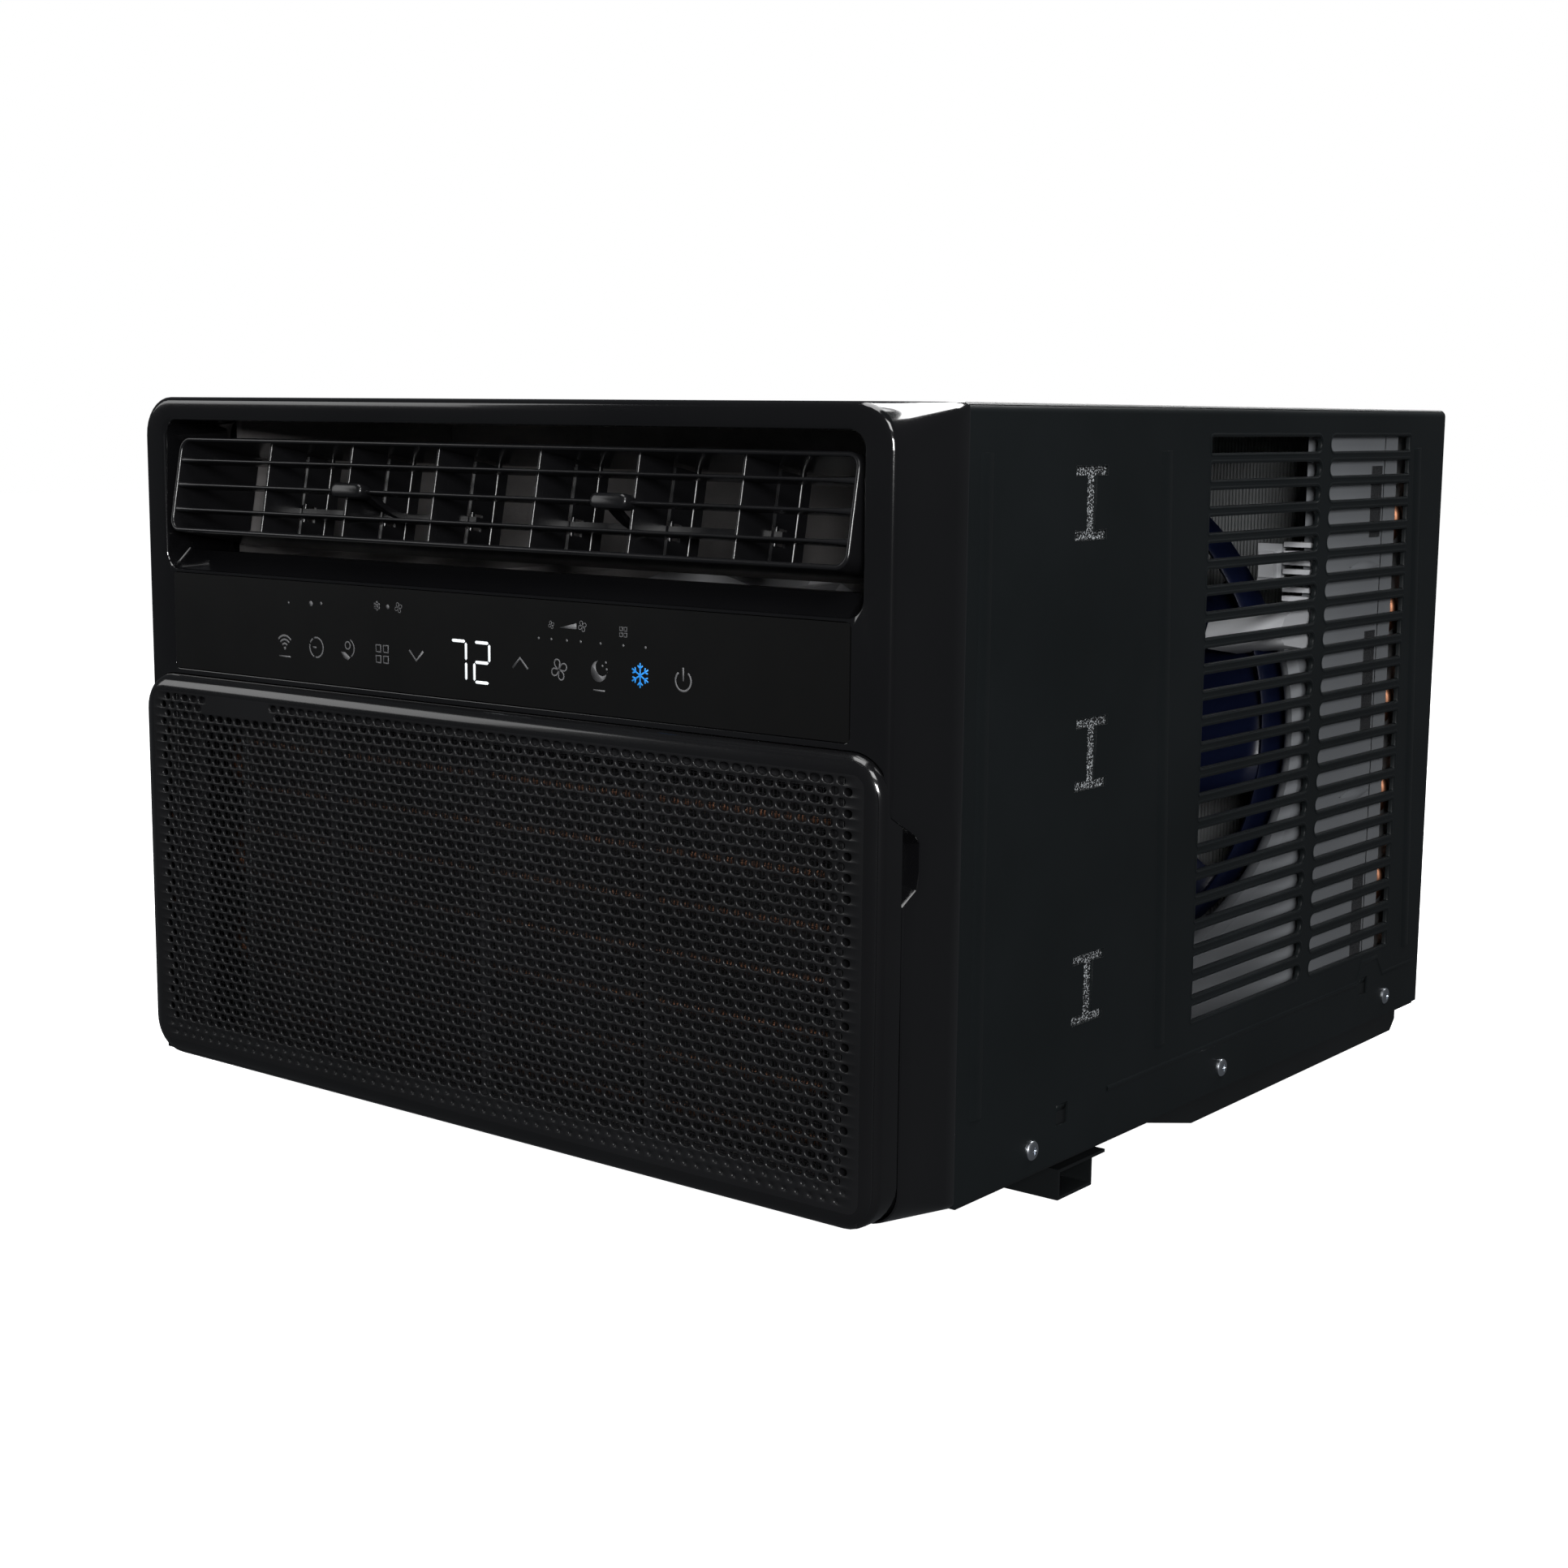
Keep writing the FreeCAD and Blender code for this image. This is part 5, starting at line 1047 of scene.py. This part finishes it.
def make_screws():
    """Pan-head screws with a cross recess."""
    mesh = Mesh()
    count = 32
    for side in (-1, 1):
        for y in SCREW_YS:
            turns = [math.tau * step / count for step in range(count)]
            loops = [[(side * (CAB + out), y + radius * math.cos(angle),
                SCREW_Z + radius * math.sin(angle)) for angle in turns] for radius, out in SCREW_HEAD]
            for size, out in CROSS:
                loop = []
                for angle in turns:
                    arm = max(abs(math.cos(angle)), abs(math.sin(angle)))
                    reach = CROSS_REACH if arm > 0.96 else CROSS_WAIST
                    loop.append((side * (CAB + out), y + size * reach * math.cos(angle),
                        SCREW_Z + size * reach * math.sin(angle)))
                loops.append(loop)
            mesh.band(loops)
            mesh.cap(loops[-1])
    mesh.piece("side_screw_heads", "screw_steel", "cabinet", 35, ("cabinet_screws",))


# parts seen through the vents and the grille

FAN_X, FAN_Z = 60, 196
ORIFICE = 158
SHROUD_FRONT, SHROUD_REAR, SHROUD_HALF = 126, 206, 236
SHROUD_LOW, SHROUD_HIGH = 25.6, 367.4
SHROUD_TOP = 364.4
RIB_ROWS, STRIP_ROWS = (285, 158), ((63, 116), (188, 249), (301, 340))
# ledge in the shroud's open corner: its (y, z) outline, and its rise by X
LEDGE = ((SHROUD_FRONT, 238), (92, 243), (89, 246), (88.4, 252), (91, 257), (97, 260),
    (SHROUD_FRONT, 263))
LEDGE_RISE = ((191, 0), (206, 2.4), (221, 4), (235.4, 5))
# fan: hub stages as radius, front and rear; the ring's section; and its blades
HUB = ((30, 108, 152), (13, 104, 156))
FAN_RING = ((150, 121), (151.2, 119.8), (152.4, 121), (152.4, 145), (151.2, 146), (150, 145),
    (150, 121))
BLADES, BLADE_ROOT, BLADE_TIP, BLADE_Y = 5, 27, 150.5, 130


def circle_at(radius, y, count=96):
    return [(FAN_X + radius * math.cos(math.tau * step / count), y,
        FAN_Z + radius * math.sin(math.tau * step / count)) for step in range(count)]


def mouth_arc(radius, y):
    """The part of the fan opening that has a rim: all but its upper right."""
    return [(FAN_X + radius * math.cos(angle), y, FAN_Z + radius * math.sin(angle))
        for angle in map(math.radians, evenly(101, 382, 80))]


def make_ledge():
    """The ledge across the shroud's open corner, with a bracket and a ribbed block above it, in a lighter
    copy of the shroud plastic as painted light.
    """
    mesh = Mesh()
    rows = [[(x, y, z + rise) for y, z in LEDGE] for x, rise in LEDGE_RISE]
    mesh.band(rows, closed=False)
    mesh.cap(rows[0])
    mesh.cap(rows[-1])
    mesh.box((203, 122, 277), (217, SHROUD_FRONT, 299))
    mesh.box((205.5, 118, 281), (214.5, 122, 295))
    for step in range(7):
        mesh.box((219.5, 119, 269 + step * 4.8), (235, SHROUD_FRONT, 271.6 + step * 4.8))
    # the ledge takes the lighter copy of the shroud plastic: painted light
    mesh.piece("shroud_ledge", "shroud_plastic", "cabinet", 45, look="shroud_painted_lit")


def make_shroud():
    """Front plate with a bell-mouthed fan opening, side walls with pressed ribs."""
    mesh = Mesh()
    plate = ring_of(SHROUD_HALF, SHROUD_LOW - 1, SHROUD_HIGH, 6, steps=4)
    bell = [[(x, y, min(max(z, SHROUD_LOW + 1), SHROUD_TOP)) for x, y, z in circle]
        for circle in [mouth_arc(ORIFICE + 14, SHROUD_FRONT)] + [mouth_arc(ORIFICE + 12 * share,
        SHROUD_FRONT - 5 + 17 * rise) for share, rise in list(quarter(8))[1:]]]
    bell.append(mouth_arc(ORIFICE, SHROUD_FRONT + 24))
    mesh.band(bell, closed=False)
    opening = [(x, z) for x, _, z in bell[0]] + [(228, bell[0][-1][2]), (228, SHROUD_TOP)]
    mesh.sheet([plate, opening], SHROUD_FRONT)
    mesh.band([at_depth(plate, SHROUD_FRONT), at_depth(plate, SHROUD_REAR)])
    for side in (-1, 1):
        mesh.side_box(side, 234, 236, SHROUD_REAR - 1, 222, 40, 358)
    mesh.piece("fan_shroud_shell", "shroud_plastic", "cabinet", 45, ("fan_shroud",))
    ribs, strips = Mesh(), Mesh()
    for side in (-1, 1):
        for z in RIB_ROWS:
            loops = []
            for share in evenly(0, 1, 12):
                y = between(166, 204, share)
                high = 3.2 * math.sin(math.pi * share) + 0.05
                loops.append([(side * (SHROUD_HALF + 0.1), y, z - high),
                    (side * (SHROUD_HALF + 1.6 * math.sin(math.pi * share)), y, z + 0.4),
                    (side * (SHROUD_HALF + 0.1), y, z + high)])
            ribs.band(loops, closed=False)
        for low, high in STRIP_ROWS:
            strips.side_box(side, SHROUD_HALF + 0.1, SHROUD_HALF + 0.5, 189, 202, low, high)
    ribs.piece("shroud_ribs", "shroud_plastic", "cabinet", 60)
    strips.piece("shroud_strips", "grey_foam", "cabinet", 30)


def make_fan():
    """Five swept blades on a hub inside a thin ring."""
    mesh = Mesh()
    for radius, low, high in HUB:
        mesh.band([circle_at(radius - 3, low, 48), circle_at(radius, low + 3, 48),
            circle_at(radius, high - 1, 48), circle_at(radius - 3, high, 48), circle_at(6.5, high, 48),
            circle_at(6.5, low, 48), circle_at(radius - 3, low, 48)])
    mesh.band([circle_at(radius, y) for radius, y in FAN_RING])
    for blade in range(BLADES):
        rows = []
        for share in evenly(0, 1, 12):
            radius = between(BLADE_ROOT, BLADE_TIP, share)
            sweep = math.tau * blade / BLADES + 0.22 * share ** 1.4
            width = between(0.62, 0.40, share)
            row = []
            for part in evenly(-0.5, 0.5, 8):
                angle = sweep + part * width * 2
                y = BLADE_Y + part * between(34, 24, share) + 3 * math.cos(part * math.pi)
                row.append((FAN_X + radius * math.cos(angle), y, FAN_Z + radius * math.sin(angle)))
            rows.append(row)
        mesh.band(rows, closed=False)
    item = mesh.piece("fan_wheel_shell", "fan_plastic", "fan_rotor", 50, ("condenser_fan",))
    thicken(item, "blade_thickness", 1.6, 0)


FIN_PITCH, FIN_HALF, HEM_HALF, HEM_DEEP = 2.1, 0.07, 0.2, 0.5


def make_fins(name, half, front, rear, low, high, node, look):
    """Thin upright fins, each a sheet with a slightly rolled front and back edge."""
    mesh = Mesh()
    for step in range(int(2 * half / FIN_PITCH) + 1):
        x = -half + step * FIN_PITCH
        mesh.box((x - FIN_HALF, front, low), (x + FIN_HALF, rear, high))
        for edge in (front, rear - HEM_DEEP):
            mesh.box((x - HEM_HALF, edge, low), (x + HEM_HALF, edge + HEM_DEEP, high))
    mesh.piece(name, "fin_aluminium", "cabinet", 30, (node,), look)


def make_filter_net():
    """The filter's woven net."""
    mesh = Mesh()
    low, high, half, y = 38.2, 213.8, 211.6, -261.5
    thread, pitch = 0.14, 2.6
    for step in range(int((high - low) / pitch) + 1):
        z = low + step * pitch
        mesh.box((-half, y - thread, z - thread), (half, y + thread, z + thread))
    for step in range(int(2 * half / pitch) + 1):
        x = -half + step * pitch
        mesh.box((x - thread, y - thread, low), (x + thread, y + thread, high))
    mesh.piece("filter_net", "filter_net", "filter", 30, ("filter_mesh",))


SOFT_NODES = {
    "sill_rail": 0.5, "base_pan": 0.6, "filter_frame": 0.5, "control_box": 0.6,
    "compressor_terminal_cover": 1.2, "drip_tray": 0.8, "outlet_duct": 0.8, "blower_scroll": 0.8,
    "left_vane_link": 0.5, "right_vane_link": 0.5, "control_panel_glass": 0.25,
}


def soften_nodes():
    for name, width in SOFT_NODES.items():
        soften(NODES[name], width)
    for word in ("left", "right"):
        for index in (1, 2, 3):
            soften(NODES["%s_vane_%d" % (word, index)], 0.35)


make_floor()
make_studio()
dress_nodes()
make_grille()
make_bezel()
make_louvre()
make_tab("left", -1)
make_tab("right", 1)
make_symbols()
make_side_trim()
make_step_line()
make_lance_tabs()
make_screws()
make_shroud()
make_ledge()
make_fan()
make_fins("evaporator_fin_pack", 200, -237.6, -206.2, 34.2, 273.8, "evaporator_fins", "fin_aluminium")
make_fins("condenser_fin_pack", 212, 207.2, 250.8, 22.2, 361.8, "condenser_fins", "fin_coated")
make_filter_net()
soften_nodes()
